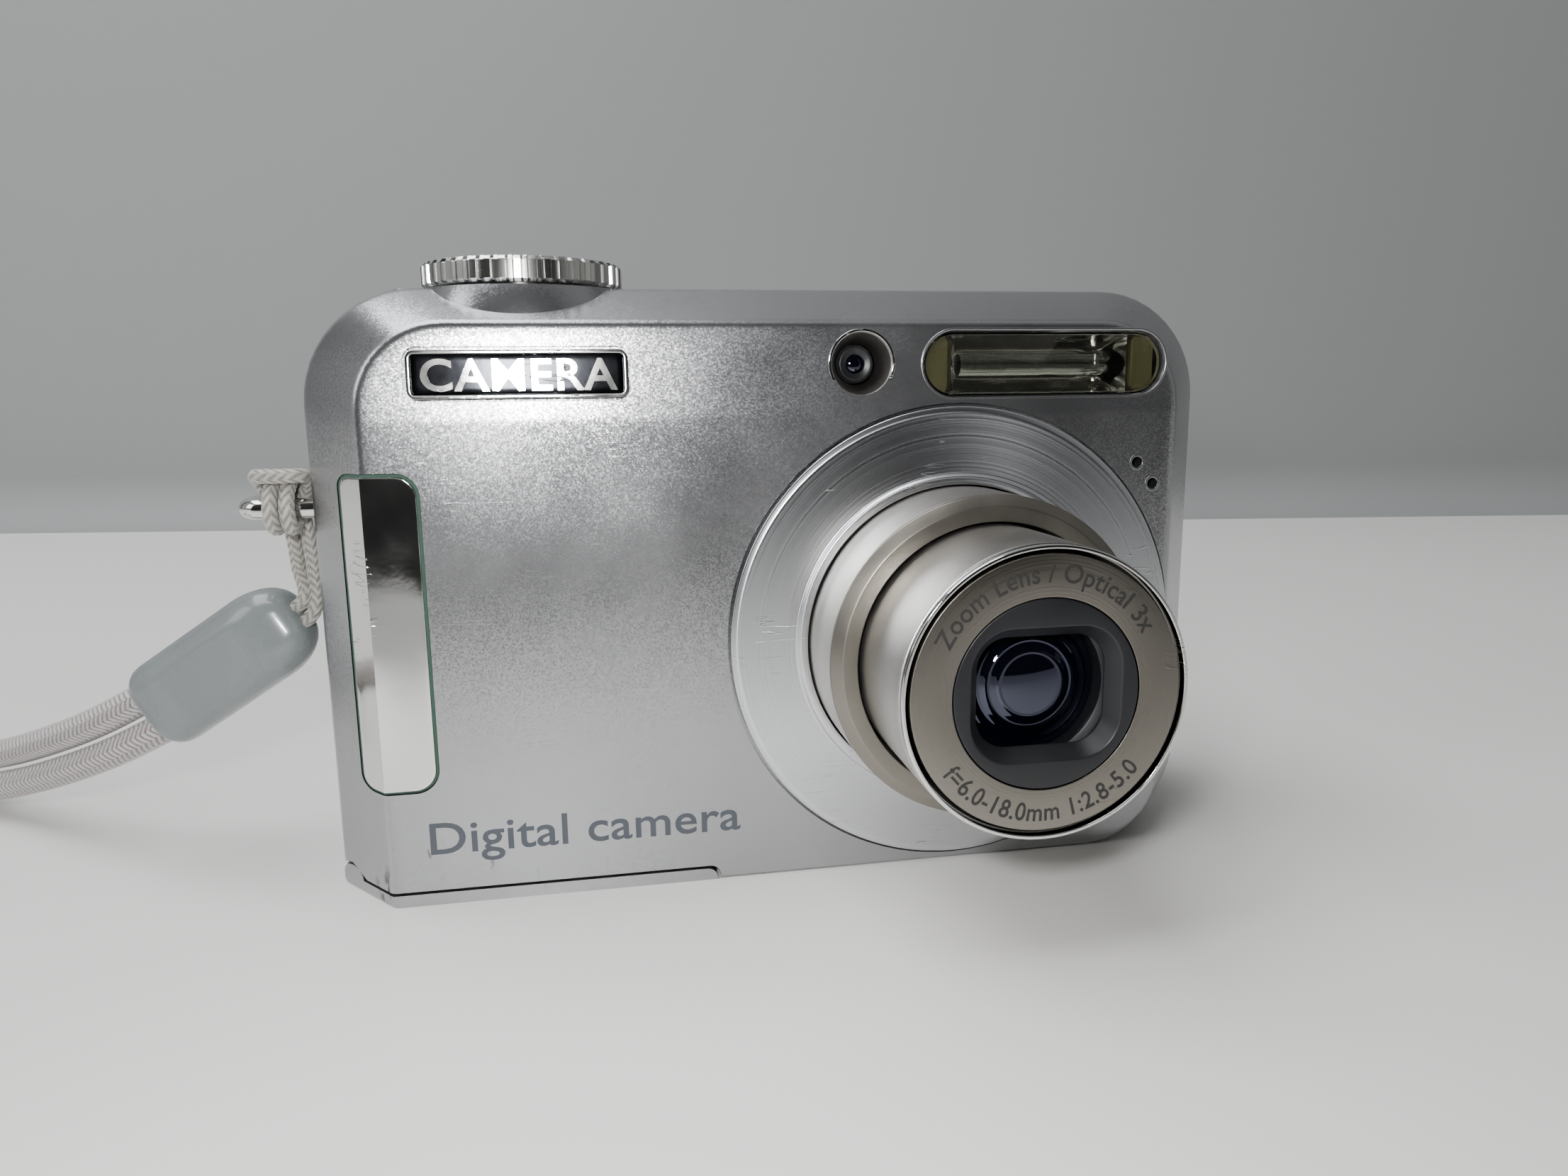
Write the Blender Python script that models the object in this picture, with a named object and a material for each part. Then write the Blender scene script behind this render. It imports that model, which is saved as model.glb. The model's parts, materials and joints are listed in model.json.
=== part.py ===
"""Compact digital camera with an extending zoom lens, two upright AA cells and a wrist strap.

Frame: metres, +Z up, the lens looks along -Y, +X is the flash side. The origin is the middle of
the base, halfway between the front plane and the rear plane. Depths are counted from the front
plane into the body, so depth(0.0) is the front face and negative depths stand out in front of it.
"""
import math

import bmesh
import bpy
from mathutils import Matrix, Vector

# Body
BODY_WIDTH = 0.0910
BODY_HEIGHT = 0.0586
BODY_DEPTH = 0.0268
WALL = 0.0018
FIT_GAP = 0.0003
CHAMFER_SIDE = 0.0059
CHAMFER_TOP = 0.0036
CHAMFER_DEPTH = 0.0071
FRONT_RADIUS = 0.0080
OUTLINE_RADIUS_TOP = 0.0110
OUTLINE_RADIUS_BASE = 0.0080
SHARP_RADIUS = 0.0004
REAR_EDGE_RADIUS = 0.0030
SPLIT_DEPTH = 0.0112
FACET_HEIGHT = 0.0462
FACET_TILT = math.radians(3.0)
FRONT = -BODY_DEPTH / 2
REAR = BODY_DEPTH / 2
LEFT = -BODY_WIDTH / 2
RIGHT = BODY_WIDTH / 2

# Lens, counted from the lens axis and the front plane
LENS_X = 0.0165
LENS_Z = 0.0240
OUTER_RADIUS = 0.0152
OUTER_WALL = 0.0024
OUTER_BORE = OUTER_RADIUS - OUTER_WALL
OUTER_REACH = 0.0104
OUTER_LENGTH = 0.0142
THROAT_GAP = 0.00055
TRIM_RADIUS = 0.0230
TRIM_BORE = OUTER_RADIUS + THROAT_GAP
TRIM_PROUD = 0.0008
TRIM_THICKNESS = 0.0015
SLIDE_GAP = 0.00035
INNER_RADIUS = OUTER_BORE - SLIDE_GAP
INNER_REACH = 0.0225
INNER_LENGTH = 0.0159
INNER_LIP = 0.0005
INNER_LEDGE = 0.00065
INNER_SHOULDER = INNER_RADIUS - INNER_LIP - INNER_LEDGE
CAP_RADIUS = 0.0080
GLASS_BORE = 0.0064
APERTURE_WIDTH = 0.0122
APERTURE_HEIGHT = 0.0104
BLADE_THICKNESS = 0.0004
CAM_BORE = OUTER_RADIUS + FIT_GAP
CAM_WALL = 0.0017
CAM_RADIUS = CAM_BORE + CAM_WALL
TOOTH_DEPTH = 0.0006
CAM_GEAR_TIP = CAM_RADIUS + 2 * TOOTH_DEPTH
CAM_START = 0.0024
GEAR_START = 0.0144
GEAR_END = 0.0164
BASE_BORE = CAM_GEAR_TIP + 2 * FIT_GAP
BASE_WALL = 0.0010
LENS_BASE_RADIUS = BASE_BORE + BASE_WALL
LENS_BASE_DEPTH = 0.0200
LENS_BASE_PLATE = 0.0012
IDLER_TIP = 0.0032
PINION_TIP = 0.0018
SENSOR_WIDTH = 0.0090
SENSOR_HEIGHT = 0.0076

# Flash, lamp, microphone
FLASH_X = 0.0256
FLASH_Z = 0.0510
FLASH_WIDTH = 0.0252
FLASH_HEIGHT = 0.0062
LAMP_X = 0.0068
LAMP_Z = 0.0511
LAMP_RADIUS = 0.0027
MIC_HOLES = ((0.0356, 0.0411), (0.0374, 0.0389))
MIC_HOLE_RADIUS = 0.00062

# Front trim
GRIP_LEFT = LEFT + 0.0036
GRIP_RIGHT = LEFT + 0.0107
GRIP_BASE = 0.0117
GRIP_TOP = 0.0414
GRIP_THICKNESS = 0.0009
BADGE_X = -0.0252
BADGE_Z = 0.0504
BADGE_WIDTH = 0.0196
BADGE_HEIGHT = 0.0043
BADGE_THICKNESS = 0.0007

# Top controls
DIAL_X = -0.0250
DIAL_DEPTH = BODY_DEPTH / 2
DIAL_RADIUS = 0.0098
DIAL_HEIGHT = 0.0024
DIAL_FLUTES = 44
DIAL_BORE = 0.0048
DIAL_SLEEVE = DIAL_BORE + 0.0010
PEDESTAL_RADIUS = DIAL_RADIUS + 2 * FIT_GAP
PEDESTAL_FLARE = 0.0012
PEDESTAL_HEIGHT = 0.0036
SHUTTER_TRAVEL = 0.0009
SHUTTER_STEM = 0.0021
POWER_TRAVEL = 0.0005
POWER_X = -0.0030
POWER_DEPTH = 0.0176
POWER_RADIUS = 0.0024
TOP_COVER_THICKNESS = 0.0011

# Rear controls, screen and boards
KEYS = (("menu_button", -0.0150, 0.0400), ("play_button", -0.0380, 0.0400),
        ("delete_button", -0.0150, 0.0110))
BOARD_THICKNESS = 0.0010
KEY_BOARD_THICKNESS = 0.0006
KEY_BOARD_DEPTH = BODY_DEPTH - 0.0034
SCREEN_X = 0.0175
SCREEN_Z = 0.0290
SCREEN_WIDTH = 0.0480
SCREEN_HEIGHT = 0.0380
BUTTON_PROUD = 0.0007
BUTTON_TRAVEL = 0.0004
BUTTON_RADIUS = 0.0023
PAD_X = -0.0265
PAD_Z = 0.0250
PAD_RADIUS = 0.0084
PAD_BORE = 0.0040
ROCKER_X = -0.0300
ROCKER_Z = 0.0485
ROCKER_WIDTH = 0.0130
ROCKER_HEIGHT = 0.0050

# Power
CELL_RADIUS = 0.0071
CELL_LENGTH = 0.0505
CELL_DEPTH = 0.0155
CELL_PITCH = 2 * CELL_RADIUS + 0.0004
CELL_LEFT_X = LEFT + CELL_RADIUS + 0.0040
CELL_RIGHT_X = CELL_LEFT_X + CELL_PITCH
CRADLE_WALL = 0.0005
NUB_RADIUS = 0.0027
NUB_LENGTH = 0.0012
DOOR_THICKNESS = 0.0012
DOOR_KNUCKLE = 0.0012
DOOR_PIN = 0.0004
DOOR_CORNER = 0.0011
DOOR_HEEL = 0.0007
EAR_START = 0.0135
EAR_END = 0.0180
PIN_START = 0.0078
LATCH_WIDTH = 0.0060
LATCH_LENGTH = 0.0080
LATCH_THICKNESS = 0.0004
LATCH_TRAVEL = 0.0020
CARD_THICKNESS = 0.0016
CARD_X = CELL_RIGHT_X + CELL_RADIUS + CARD_THICKNESS / 2 + 0.0021
DOOR_RIGHT = CARD_X + CARD_THICKNESS
CARD_WIDTH = 0.0198
CARD_LENGTH = 0.0310

# Base
SOCKET_X = 0.0080
SOCKET_DEPTH = 0.0186
SOCKET_RADIUS = 0.0042
SOCKET_BORE = 0.0030
SCREW_RADIUS = 0.0013
SCREWS = ((0.0250, 0.0215), (0.0330, 0.0150))

# Right side jack
JACK_COVER_LOW = 0.0150
JACK_COVER_HIGH = 0.0310
JACK_COVER_START = 0.0136
JACK_COVER_LENGTH = 0.0090
JACK_COVER_THICKNESS = 0.0010
JACK_KNUCKLE = 0.0008
JACK_WIDTH = 0.0064
JACK_REACH = 0.0048
JACK_START = JACK_COVER_START + 0.0006
JACK_END = JACK_START + 0.0064
JACK_WALL = 0.0010

# Strap
LUG_DEPTH = 0.0092
LUG_Z = 0.0380
LUG_SPACING = 0.0070
LUG_REACH = 0.0065
LUG_RADIUS = 0.0010
THIN_CORD_RADIUS = 0.00068
THICK_CORD_RADIUS = 0.0016
BEAD_LENGTH = 0.0195
BEAD_WIDTH = 0.0094
BEAD_THICKNESS = 0.0070


def depth(value):
    return FRONT + value


# ---------------------------------------------------------------- materials

COLOURS = {
    "silver_paint": ((0.46, 0.47, 0.48), 0.34, 0.85),
    "rear_plastic": ((0.40, 0.41, 0.42), 0.42, 0.35),
    "spun_aluminium": ((0.62, 0.63, 0.64), 0.25, 1.0),
    "chrome": ((0.72, 0.72, 0.70), 0.08, 1.0),
    "satin_metal": ((0.56, 0.54, 0.51), 0.32, 1.0),
    "dark_metal": ((0.22, 0.21, 0.19), 0.30, 1.0),
    "black_plastic": ((0.012, 0.012, 0.013), 0.40, 0.0),
    "clear_plastic": ((0.80, 0.81, 0.78), 0.05, 0.0),
    "glass": ((0.03, 0.03, 0.05), 0.03, 0.0),
    "board_green": ((0.02, 0.12, 0.06), 0.45, 0.0),
    "brass": ((0.55, 0.40, 0.18), 0.30, 1.0),
    "cell_jacket": ((0.10, 0.11, 0.13), 0.35, 0.2),
    "cord_grey": ((0.42, 0.40, 0.36), 0.80, 0.0),
    "bead_grey": ((0.20, 0.23, 0.24), 0.28, 0.0),
    "nylon_gear": ((0.75, 0.73, 0.68), 0.50, 0.0),
}


def material(key):
    found = bpy.data.materials.get(key)
    if found:
        return found
    colour, roughness, metallic = COLOURS[key]
    made = bpy.data.materials.new(key)
    made.use_nodes = True
    shader = made.node_tree.nodes["Principled BSDF"]
    shader.inputs["Base Color"].default_value = (*colour, 1.0)
    shader.inputs["Roughness"].default_value = roughness
    shader.inputs["Metallic"].default_value = metallic
    return made


# ---------------------------------------------------------------- outlines

def arc(centre_a, centre_b, radius, start, end, steps):
    """Points on an arc, angles in degrees, both ends included."""
    angles = [math.radians(start + (end - start) * i / steps) for i in range(steps + 1)]
    return [(centre_a + radius * math.cos(t), centre_b + radius * math.sin(t)) for t in angles]


def rounded(low_a, high_a, low_b, high_b, radii, steps=6):
    """Rectangle with its own radius at each corner: low-low, high-low, high-high, low-high."""
    ll, hl, hh, lh = radii
    points = arc(low_a + ll, low_b + ll, ll, 180, 270, steps)
    points += arc(high_a - hl, low_b + hl, hl, 270, 360, steps)
    points += arc(high_a - hh, high_b - hh, hh, 0, 90, steps)
    points += arc(low_a + lh, high_b - lh, lh, 90, 180, steps)
    return points


def rounded_box(centre_a, centre_b, width, height, radius, steps=5):
    return rounded(centre_a - width / 2, centre_a + width / 2, centre_b - height / 2,
                   centre_b + height / 2, (radius,) * 4, steps)


def stadium(centre_a, centre_b, width, height, steps=10):
    half = width / 2 - height / 2
    points = arc(centre_a + half, centre_b, height / 2, -90, 90, steps)
    return points + arc(centre_a - half, centre_b, height / 2, 90, 270, steps)


def circle(centre_a, centre_b, radius, steps):
    return [(centre_a + radius * math.cos(2 * math.pi * i / steps),
             centre_b + radius * math.sin(2 * math.pi * i / steps)) for i in range(steps)]


def toothed(tip, tooth_depth, teeth):
    """Gear outline about the origin: each tooth has two tip points and two root points."""
    points = []
    for i in range(teeth * 4):
        radius = tip if i % 4 < 2 else tip - tooth_depth
        angle = 2 * math.pi * (i + 0.5) / (teeth * 4)
        points.append((radius * math.cos(angle), radius * math.sin(angle)))
    return points


def fluted(radius, flute_depth, flutes):
    """Grip outline about the origin: a flat land and a scooped groove for each flute."""
    points = []
    for i in range(flutes * 3):
        inset = flute_depth if i % 3 == 0 else 0.0
        angle = 2 * math.pi * i / (flutes * 3)
        points.append(((radius - inset) * math.cos(angle), (radius - inset) * math.sin(angle)))
    return points


# ---------------------------------------------------------------- solids

def place(axis, a, b, along):
    """World point from two cross-section coordinates and the one along the axis."""
    if axis == "X":
        return Vector((along, a, b))
    if axis == "Y":
        return Vector((a, along, b))
    return Vector((a, b, along))


def finish(name, bm, key, origin=(0.0, 0.0, 0.0), smooth=True):
    """Turn world-space geometry into an object whose origin sits at the given point."""
    bmesh.ops.recalc_face_normals(bm, faces=bm.faces)
    bmesh.ops.translate(bm, verts=bm.verts, vec=-Vector(origin))
    mesh = bpy.data.meshes.new(name)
    bm.to_mesh(mesh)
    bm.free()
    if smooth:
        mesh.shade_smooth()
        mesh.set_sharp_from_angle(angle=math.radians(32))
    made = bpy.data.objects.new(name, mesh)
    made.location = origin
    made.data.materials.append(material(key))
    bpy.context.scene.collection.objects.link(made)
    return made


def loft(name, rings, key, origin=(0.0, 0.0, 0.0), smooth=True):
    """Closed solid through rings of world points, all with the same count."""
    bm = bmesh.new()
    layers = [[bm.verts.new(point) for point in ring] for ring in rings]
    count = len(layers[0])
    for lower, upper in zip(layers, layers[1:]):
        for i in range(count):
            j = (i + 1) % count
            bm.faces.new((lower[i], lower[j], upper[j], upper[i]))
    bm.faces.new(layers[0][::-1])
    bm.faces.new(layers[-1])
    return finish(name, bm, key, origin, smooth)


def prism(name, outline, axis, low, high, key, origin=(0.0, 0.0, 0.0), smooth=True):
    rings = [[place(axis, a, b, along) for a, b in outline] for along in (low, high)]
    return loft(name, rings, key, origin, smooth)


def block(name, low, high, key, origin=(0.0, 0.0, 0.0)):
    """Box between two opposite corners."""
    outline = [(low[0], low[1]), (high[0], low[1]), (high[0], high[1]), (low[0], high[1])]
    return prism(name, outline, "Z", low[2], high[2], key, origin, False)


def turned(name, profile, axis, centre, key, steps=48, origin=None):
    """Closed profile of (radius, along) turned about an axis; a radius of zero is on the axis."""
    bm = bmesh.new()
    columns = []
    for radius, along in profile:
        if radius == 0.0:
            columns.append([bm.verts.new(place(axis, centre[0], centre[1], along))])
        else:
            ring = circle(centre[0], centre[1], radius, steps)
            columns.append([bm.verts.new(place(axis, a, b, along)) for a, b in ring])
    for first, second in zip(columns, columns[1:] + columns[:1]):
        if len(first) == 1 and len(second) == 1:
            continue
        for i in range(steps):
            j = (i + 1) % steps
            corners = (first[i % len(first)], first[j % len(first)],
                       second[j % len(second)], second[i % len(second)])
            bm.faces.new(list(dict.fromkeys(corners)))
    start = place(axis, centre[0], centre[1], profile[0][1]) if origin is None else origin
    return finish(name, bm, key, start)


def ring(name, inner, outer, axis, centre, low, high, key, steps=48, origin=None):
    profile = [(inner, low), (outer, low), (outer, high), (inner, high)]
    return turned(name, profile, axis, centre, key, steps, origin)


def disc(name, radius, axis, centre, low, high, key, steps=32, origin=None):
    profile = [(0.0, low), (radius, low), (radius, high), (0.0, high)]
    return turned(name, profile, axis, centre, key, steps, origin)


def tube(name, points, radius, key, resolution=2):
    """Round bar along a list of points, with filled caps."""
    data = bpy.data.curves.new(name, "CURVE")
    data.dimensions = "3D"
    data.bevel_depth = radius
    data.bevel_resolution = resolution
    data.use_fill_caps = True
    spline = data.splines.new("POLY")
    spline.points.add(len(points) - 1)
    for target, point in zip(spline.points, points):
        target.co = (*point, 1.0)
    data.materials.append(material(key))
    made = bpy.data.objects.new(name, data)
    bpy.context.scene.collection.objects.link(made)
    return made


def combine(target, tool, operation):
    """Boolean with the exact solver; the tool stays in the scene as a hidden wire guide."""
    modifier = target.modifiers.new(tool.name, "BOOLEAN")
    modifier.operation = operation
    modifier.solver = "EXACT"
    modifier.object = tool
    tool.hide_render = True
    tool.display_type = "WIRE"
    return target


def cut(tool, *targets):
    for target in targets:
        combine(target, tool, "DIFFERENCE")


def ride(child, parent):
    """Parent a piece while it stays where it was made."""
    child.parent = parent
    child.matrix_parent_inverse = Matrix.Translation(parent.location).inverted()
    return child


def smooth_route(points, steps):
    """Catmull-Rom curve through hand-placed points, with the given samples per span."""
    padded = [points[0] * 2 - points[1]] + points + [points[-1] * 2 - points[-2]]
    route = []
    for p0, p1, p2, p3 in zip(padded, padded[1:], padded[2:], padded[3:]):
        for i in range(steps):
            t = i / steps
            route.append(0.5 * (2 * p1 + (p2 - p0) * t + (2 * p0 - 5 * p1 + 4 * p2 - p3) * t * t
                                + (3 * p1 - p0 - 3 * p2 + p3) * t ** 3))
    return route + [points[-1]]


# ---------------------------------------------------------------- body form

def body_ring(inset, share, at_depth):
    """Outline of the body at a depth: share 1 is the small front face, share 0 the full outline.

    The inset moves every side inwards, so the same function gives the outer and inner form.
    """
    side = CHAMFER_SIDE * share + inset
    top = CHAMFER_TOP * share + inset
    upper = OUTLINE_RADIUS_TOP + (FRONT_RADIUS - OUTLINE_RADIUS_TOP) * share - inset
    lower = OUTLINE_RADIUS_BASE - inset
    outline = rounded(LEFT + side, RIGHT - side, inset, BODY_HEIGHT - top,
                      (SHARP_RADIUS, lower, upper, upper), 5)
    return [place("Y", x, z, depth(at_depth)) for x, z in outline]


def front_rings(inset):
    slope = CHAMFER_SIDE / CHAMFER_DEPTH
    share_at_front = 1.0 - inset * (1.0 + slope - math.hypot(1.0, slope)) / CHAMFER_SIDE
    return [body_ring(inset, share_at_front, inset),
            body_ring(inset, 0.0, CHAMFER_DEPTH + inset * (math.hypot(1.0, slope) - 1.0))]


def rear_rings(inset):
    """Full outline, then a quarter round of REAR_EDGE_RADIUS into the rear face."""
    rings = []
    radius = REAR_EDGE_RADIUS
    for i in range(4):
        angle = math.radians(30.0 * i)
        step_in = radius * (1.0 - math.cos(angle))
        step_back = radius * math.sin(angle)
        rings.append(body_ring(inset + step_in, 0.0, BODY_DEPTH - inset - radius + step_back))
    return rings


def outer_form(name):
    return loft(name, front_rings(0.0) + rear_rings(0.0), "silver_paint")


def front_cover():
    cover = loft("front_cover", front_rings(0.0) + [body_ring(0.0, 0.0, SPLIT_DEPTH)],
                 "silver_paint")
    top = BODY_HEIGHT
    profile = [(0.0, top), (PEDESTAL_RADIUS, top),
               (PEDESTAL_RADIUS + PEDESTAL_FLARE, top - PEDESTAL_HEIGHT), (0.0, top - PEDESTAL_HEIGHT)]
    pedestal = turned("guide_pedestal", profile, "Z", (DIAL_X, depth(DIAL_DEPTH)), "silver_paint", 40)
    behind = block("cut_pedestal", (LEFT, depth(SPLIT_DEPTH), 0.0), (0.0, REAR, BODY_HEIGHT + WALL),
                   "silver_paint")
    cut(behind, pedestal)
    combine(cover, pedestal, "UNION")
    reach = 0.020
    wedge = [(depth(0.0), FACET_HEIGHT), (depth(-reach), FACET_HEIGHT),
             (depth(-reach), FACET_HEIGHT + reach),
             (depth(0.0) + reach * math.tan(FACET_TILT), FACET_HEIGHT + reach)]
    cut(prism("cut_facet", wedge, "X", LEFT - WALL, RIGHT + WALL, "silver_paint"), cover)
    cut(loft("cut_front_inside", front_rings(WALL) + [body_ring(WALL, 0.0, SPLIT_DEPTH + WALL)],
             "silver_paint"), cover)
    return cover


def rear_cover():
    start = SPLIT_DEPTH + FIT_GAP
    cover = loft("rear_cover", [body_ring(0.0, 0.0, start)] + rear_rings(0.0), "rear_plastic")
    cut(loft("cut_rear_inside", [body_ring(WALL, 0.0, start - WALL)] + rear_rings(WALL),
             "rear_plastic"), cover)
    return cover


def top_outline(margin):
    return rounded(LEFT + 0.0085 - margin, RIGHT - 0.0125 + margin, depth(0.0082 - margin),
                   depth(BODY_DEPTH - 0.0032 + margin), (0.0012, 0.0012, 0.0030, 0.0030), 4)


def top_cover(covers):
    low = BODY_HEIGHT - TOP_COVER_THICKNESS
    pocket = prism("cut_top_pocket", top_outline(FIT_GAP), "Z", low - FIT_GAP, BODY_HEIGHT + WALL,
                   "silver_paint")
    cut(pocket, *covers)
    plate = prism("top_cover", top_outline(0.0), "Z", low, BODY_HEIGHT, "silver_paint")
    dial_hole = disc("cut_dial_hole", DIAL_SLEEVE + FIT_GAP, "Z", (DIAL_X, depth(DIAL_DEPTH)),
                     BODY_HEIGHT - 2 * WALL, BODY_HEIGHT + WALL, "silver_paint")
    power_hole = disc("cut_power_hole", POWER_RADIUS + FIT_GAP, "Z", (POWER_X, depth(POWER_DEPTH)),
                      BODY_HEIGHT - 2 * WALL, BODY_HEIGHT + WALL, "silver_paint")
    cut(dial_hole, plate, *covers)
    cut(power_hole, plate, covers[1])
    return plate


# ---------------------------------------------------------------- front pieces

def grip_outline(margin):
    return rounded(GRIP_LEFT - margin, GRIP_RIGHT + margin, GRIP_BASE - margin, GRIP_TOP + margin,
                   (0.0014, 0.0022, 0.0022, 0.0008), 5)


def grip_trim(cover):
    """Plate that follows the front face and the side chamfer, scooped along its crease."""
    reach = depth(-WALL), depth(CHAMFER_DEPTH)
    plate = prism("grip_trim", grip_outline(0.0), "Y", *reach, "chrome", smooth=False)
    combine(plate, outer_form("guide_grip_outside"), "INTERSECT")
    inside = front_rings(GRIP_THICKNESS) + rear_rings(GRIP_THICKNESS)
    cut(loft("cut_grip_inside", inside, "chrome"), plate)
    pocket = prism("cut_grip_pocket", grip_outline(FIT_GAP), "Y", *reach, "chrome", smooth=False)
    floor = front_rings(GRIP_THICKNESS + FIT_GAP) + rear_rings(GRIP_THICKNESS + FIT_GAP)
    cut(loft("cut_grip_floor", floor, "chrome"), pocket)
    cut(pocket, cover)
    return plate


def tilt_to_facet(made):
    """Lean a flat piece back so that it lies along the upper facet."""
    pivot = Matrix.Translation((0.0, depth(0.0), FACET_HEIGHT))
    made.data.transform(pivot @ Matrix.Rotation(-FACET_TILT, 4, "X") @ pivot.inverted())
    return made


def badge_plate(cover):
    outline = rounded_box(BADGE_X, BADGE_Z, BADGE_WIDTH, BADGE_HEIGHT, 0.0010)
    pocket = rounded_box(BADGE_X, BADGE_Z, BADGE_WIDTH + 2 * FIT_GAP, BADGE_HEIGHT + 2 * FIT_GAP, 0.0013)
    sunk = BADGE_THICKNESS - FIT_GAP
    cut(tilt_to_facet(prism("cut_badge", pocket, "Y", depth(-WALL), depth(sunk + FIT_GAP), "chrome")),
        cover)
    return tilt_to_facet(prism("badge_plate", outline, "Y", depth(sunk - BADGE_THICKNESS),
                               depth(sunk), "chrome"))


def flash_unit(cover):
    window = stadium(FLASH_X, FLASH_Z, FLASH_WIDTH, FLASH_HEIGHT)
    opening = stadium(FLASH_X, FLASH_Z, FLASH_WIDTH + 2 * FIT_GAP, FLASH_HEIGHT + 2 * FIT_GAP)
    cut(prism("cut_flash", opening, "Y", depth(-WALL), depth(2 * WALL), "chrome"), cover)
    low = depth(0.0003)
    glass_back = depth(0.0018)
    tilt = math.tan(FACET_TILT)
    front = [Vector((x, low + (z - FLASH_Z) * tilt, z)) for x, z in window]
    back = [Vector((x, glass_back, z)) for x, z in window]
    loft("flash_window", [front, back], "clear_plastic")
    reflector_depth = 0.0052
    bowl_low = glass_back + FIT_GAP
    outer = rounded_box(FLASH_X, FLASH_Z, FLASH_WIDTH - 0.0042, FLASH_HEIGHT, 0.0008)
    reflector = prism("flash_reflector", outer, "Y", bowl_low, bowl_low + reflector_depth, "chrome")
    mouth = (FLASH_WIDTH - 0.0050, FLASH_HEIGHT - 0.0008)
    throat = (mouth[0] - 0.0040, 0.0034)
    bowl = [[place("Y", x, z, bowl_low + along) for x, z in
             rounded_box(FLASH_X, FLASH_Z, width, height, 0.0006)]
            for along, (width, height) in ((-FIT_GAP, mouth), (reflector_depth - 0.0008, throat))]
    cut(loft("cut_flash_bowl", bowl, "chrome"), reflector)
    tube_radius = 0.0011
    disc("flash_tube", tube_radius, "X", (bowl_low + reflector_depth - 0.0024, FLASH_Z),
         FLASH_X - throat[0] / 2 + FIT_GAP, FLASH_X + throat[0] / 2 - FIT_GAP, "glass", 16)
    disc("flash_capacitor", 0.0042, "X", (depth(0.0168), FLASH_Z - 0.0008), FLASH_X - 0.0082,
         FLASH_X + 0.0128, "cell_jacket", 28)


def lamp(cover):
    hole = LAMP_RADIUS + FIT_GAP
    cut(disc("cut_lamp", hole, "Y", (LAMP_X, LAMP_Z), depth(-WALL), depth(2 * WALL), "chrome", 32),
        cover)
    lens_back = depth(0.0024)
    profile = [(0.0, depth(0.0012)), (LAMP_RADIUS * 0.6, depth(0.00135)), (LAMP_RADIUS, depth(0.0018)),
               (LAMP_RADIUS, lens_back), (0.0, lens_back)]
    turned("af_lamp_lens", profile, "Y", (LAMP_X, LAMP_Z), "clear_plastic", 28)
    cone = [(0.0, lens_back + FIT_GAP + 0.0004), (0.0011, lens_back + FIT_GAP + 0.0004),
            (hole, lens_back + FIT_GAP), (hole, depth(0.0062)), (0.0, depth(0.0062))]
    turned("af_lamp_housing", cone, "Y", (LAMP_X, LAMP_Z), "black_plastic", 24)


def microphone_holes(cover):
    for index, (x, z) in enumerate(MIC_HOLES):
        cut(disc(f"cut_mic_{index}", MIC_HOLE_RADIUS, "Y", (x, z), depth(-WALL), depth(2 * WALL),
                 "chrome", 16), cover)


# ---------------------------------------------------------------- lens

AXIS = (LENS_X, LENS_Z)


def lens_origin(at_depth):
    return (LENS_X, depth(at_depth), LENS_Z)


def trim_ring(cover):
    """Shallow dish between a fine outer edge and a raised inner lip."""
    back = depth(TRIM_THICKNESS - TRIM_PROUD)
    front = depth(-TRIM_PROUD)
    lip = 0.0007
    dish = 0.0005
    profile = [(TRIM_BORE, front), (TRIM_BORE + lip, front), (TRIM_BORE + lip + 0.0002, front + dish),
               (TRIM_RADIUS - 0.0004, front + 0.0001), (TRIM_RADIUS, front + 0.0003),
               (TRIM_RADIUS, back), (TRIM_BORE, back)]
    turned("lens_ring", profile, "Y", AXIS, "spun_aluminium", 48)
    hole = TRIM_BORE + 0.0010
    seat = [(0.0, depth(-WALL)), (TRIM_RADIUS + FIT_GAP, depth(-WALL)),
            (TRIM_RADIUS + FIT_GAP, back + FIT_GAP), (hole, back + FIT_GAP), (hole, depth(2 * WALL)),
            (0.0, depth(2 * WALL))]
    cut(turned("cut_ring_seat", seat, "Y", AXIS, "spun_aluminium", 48), cover)


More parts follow.
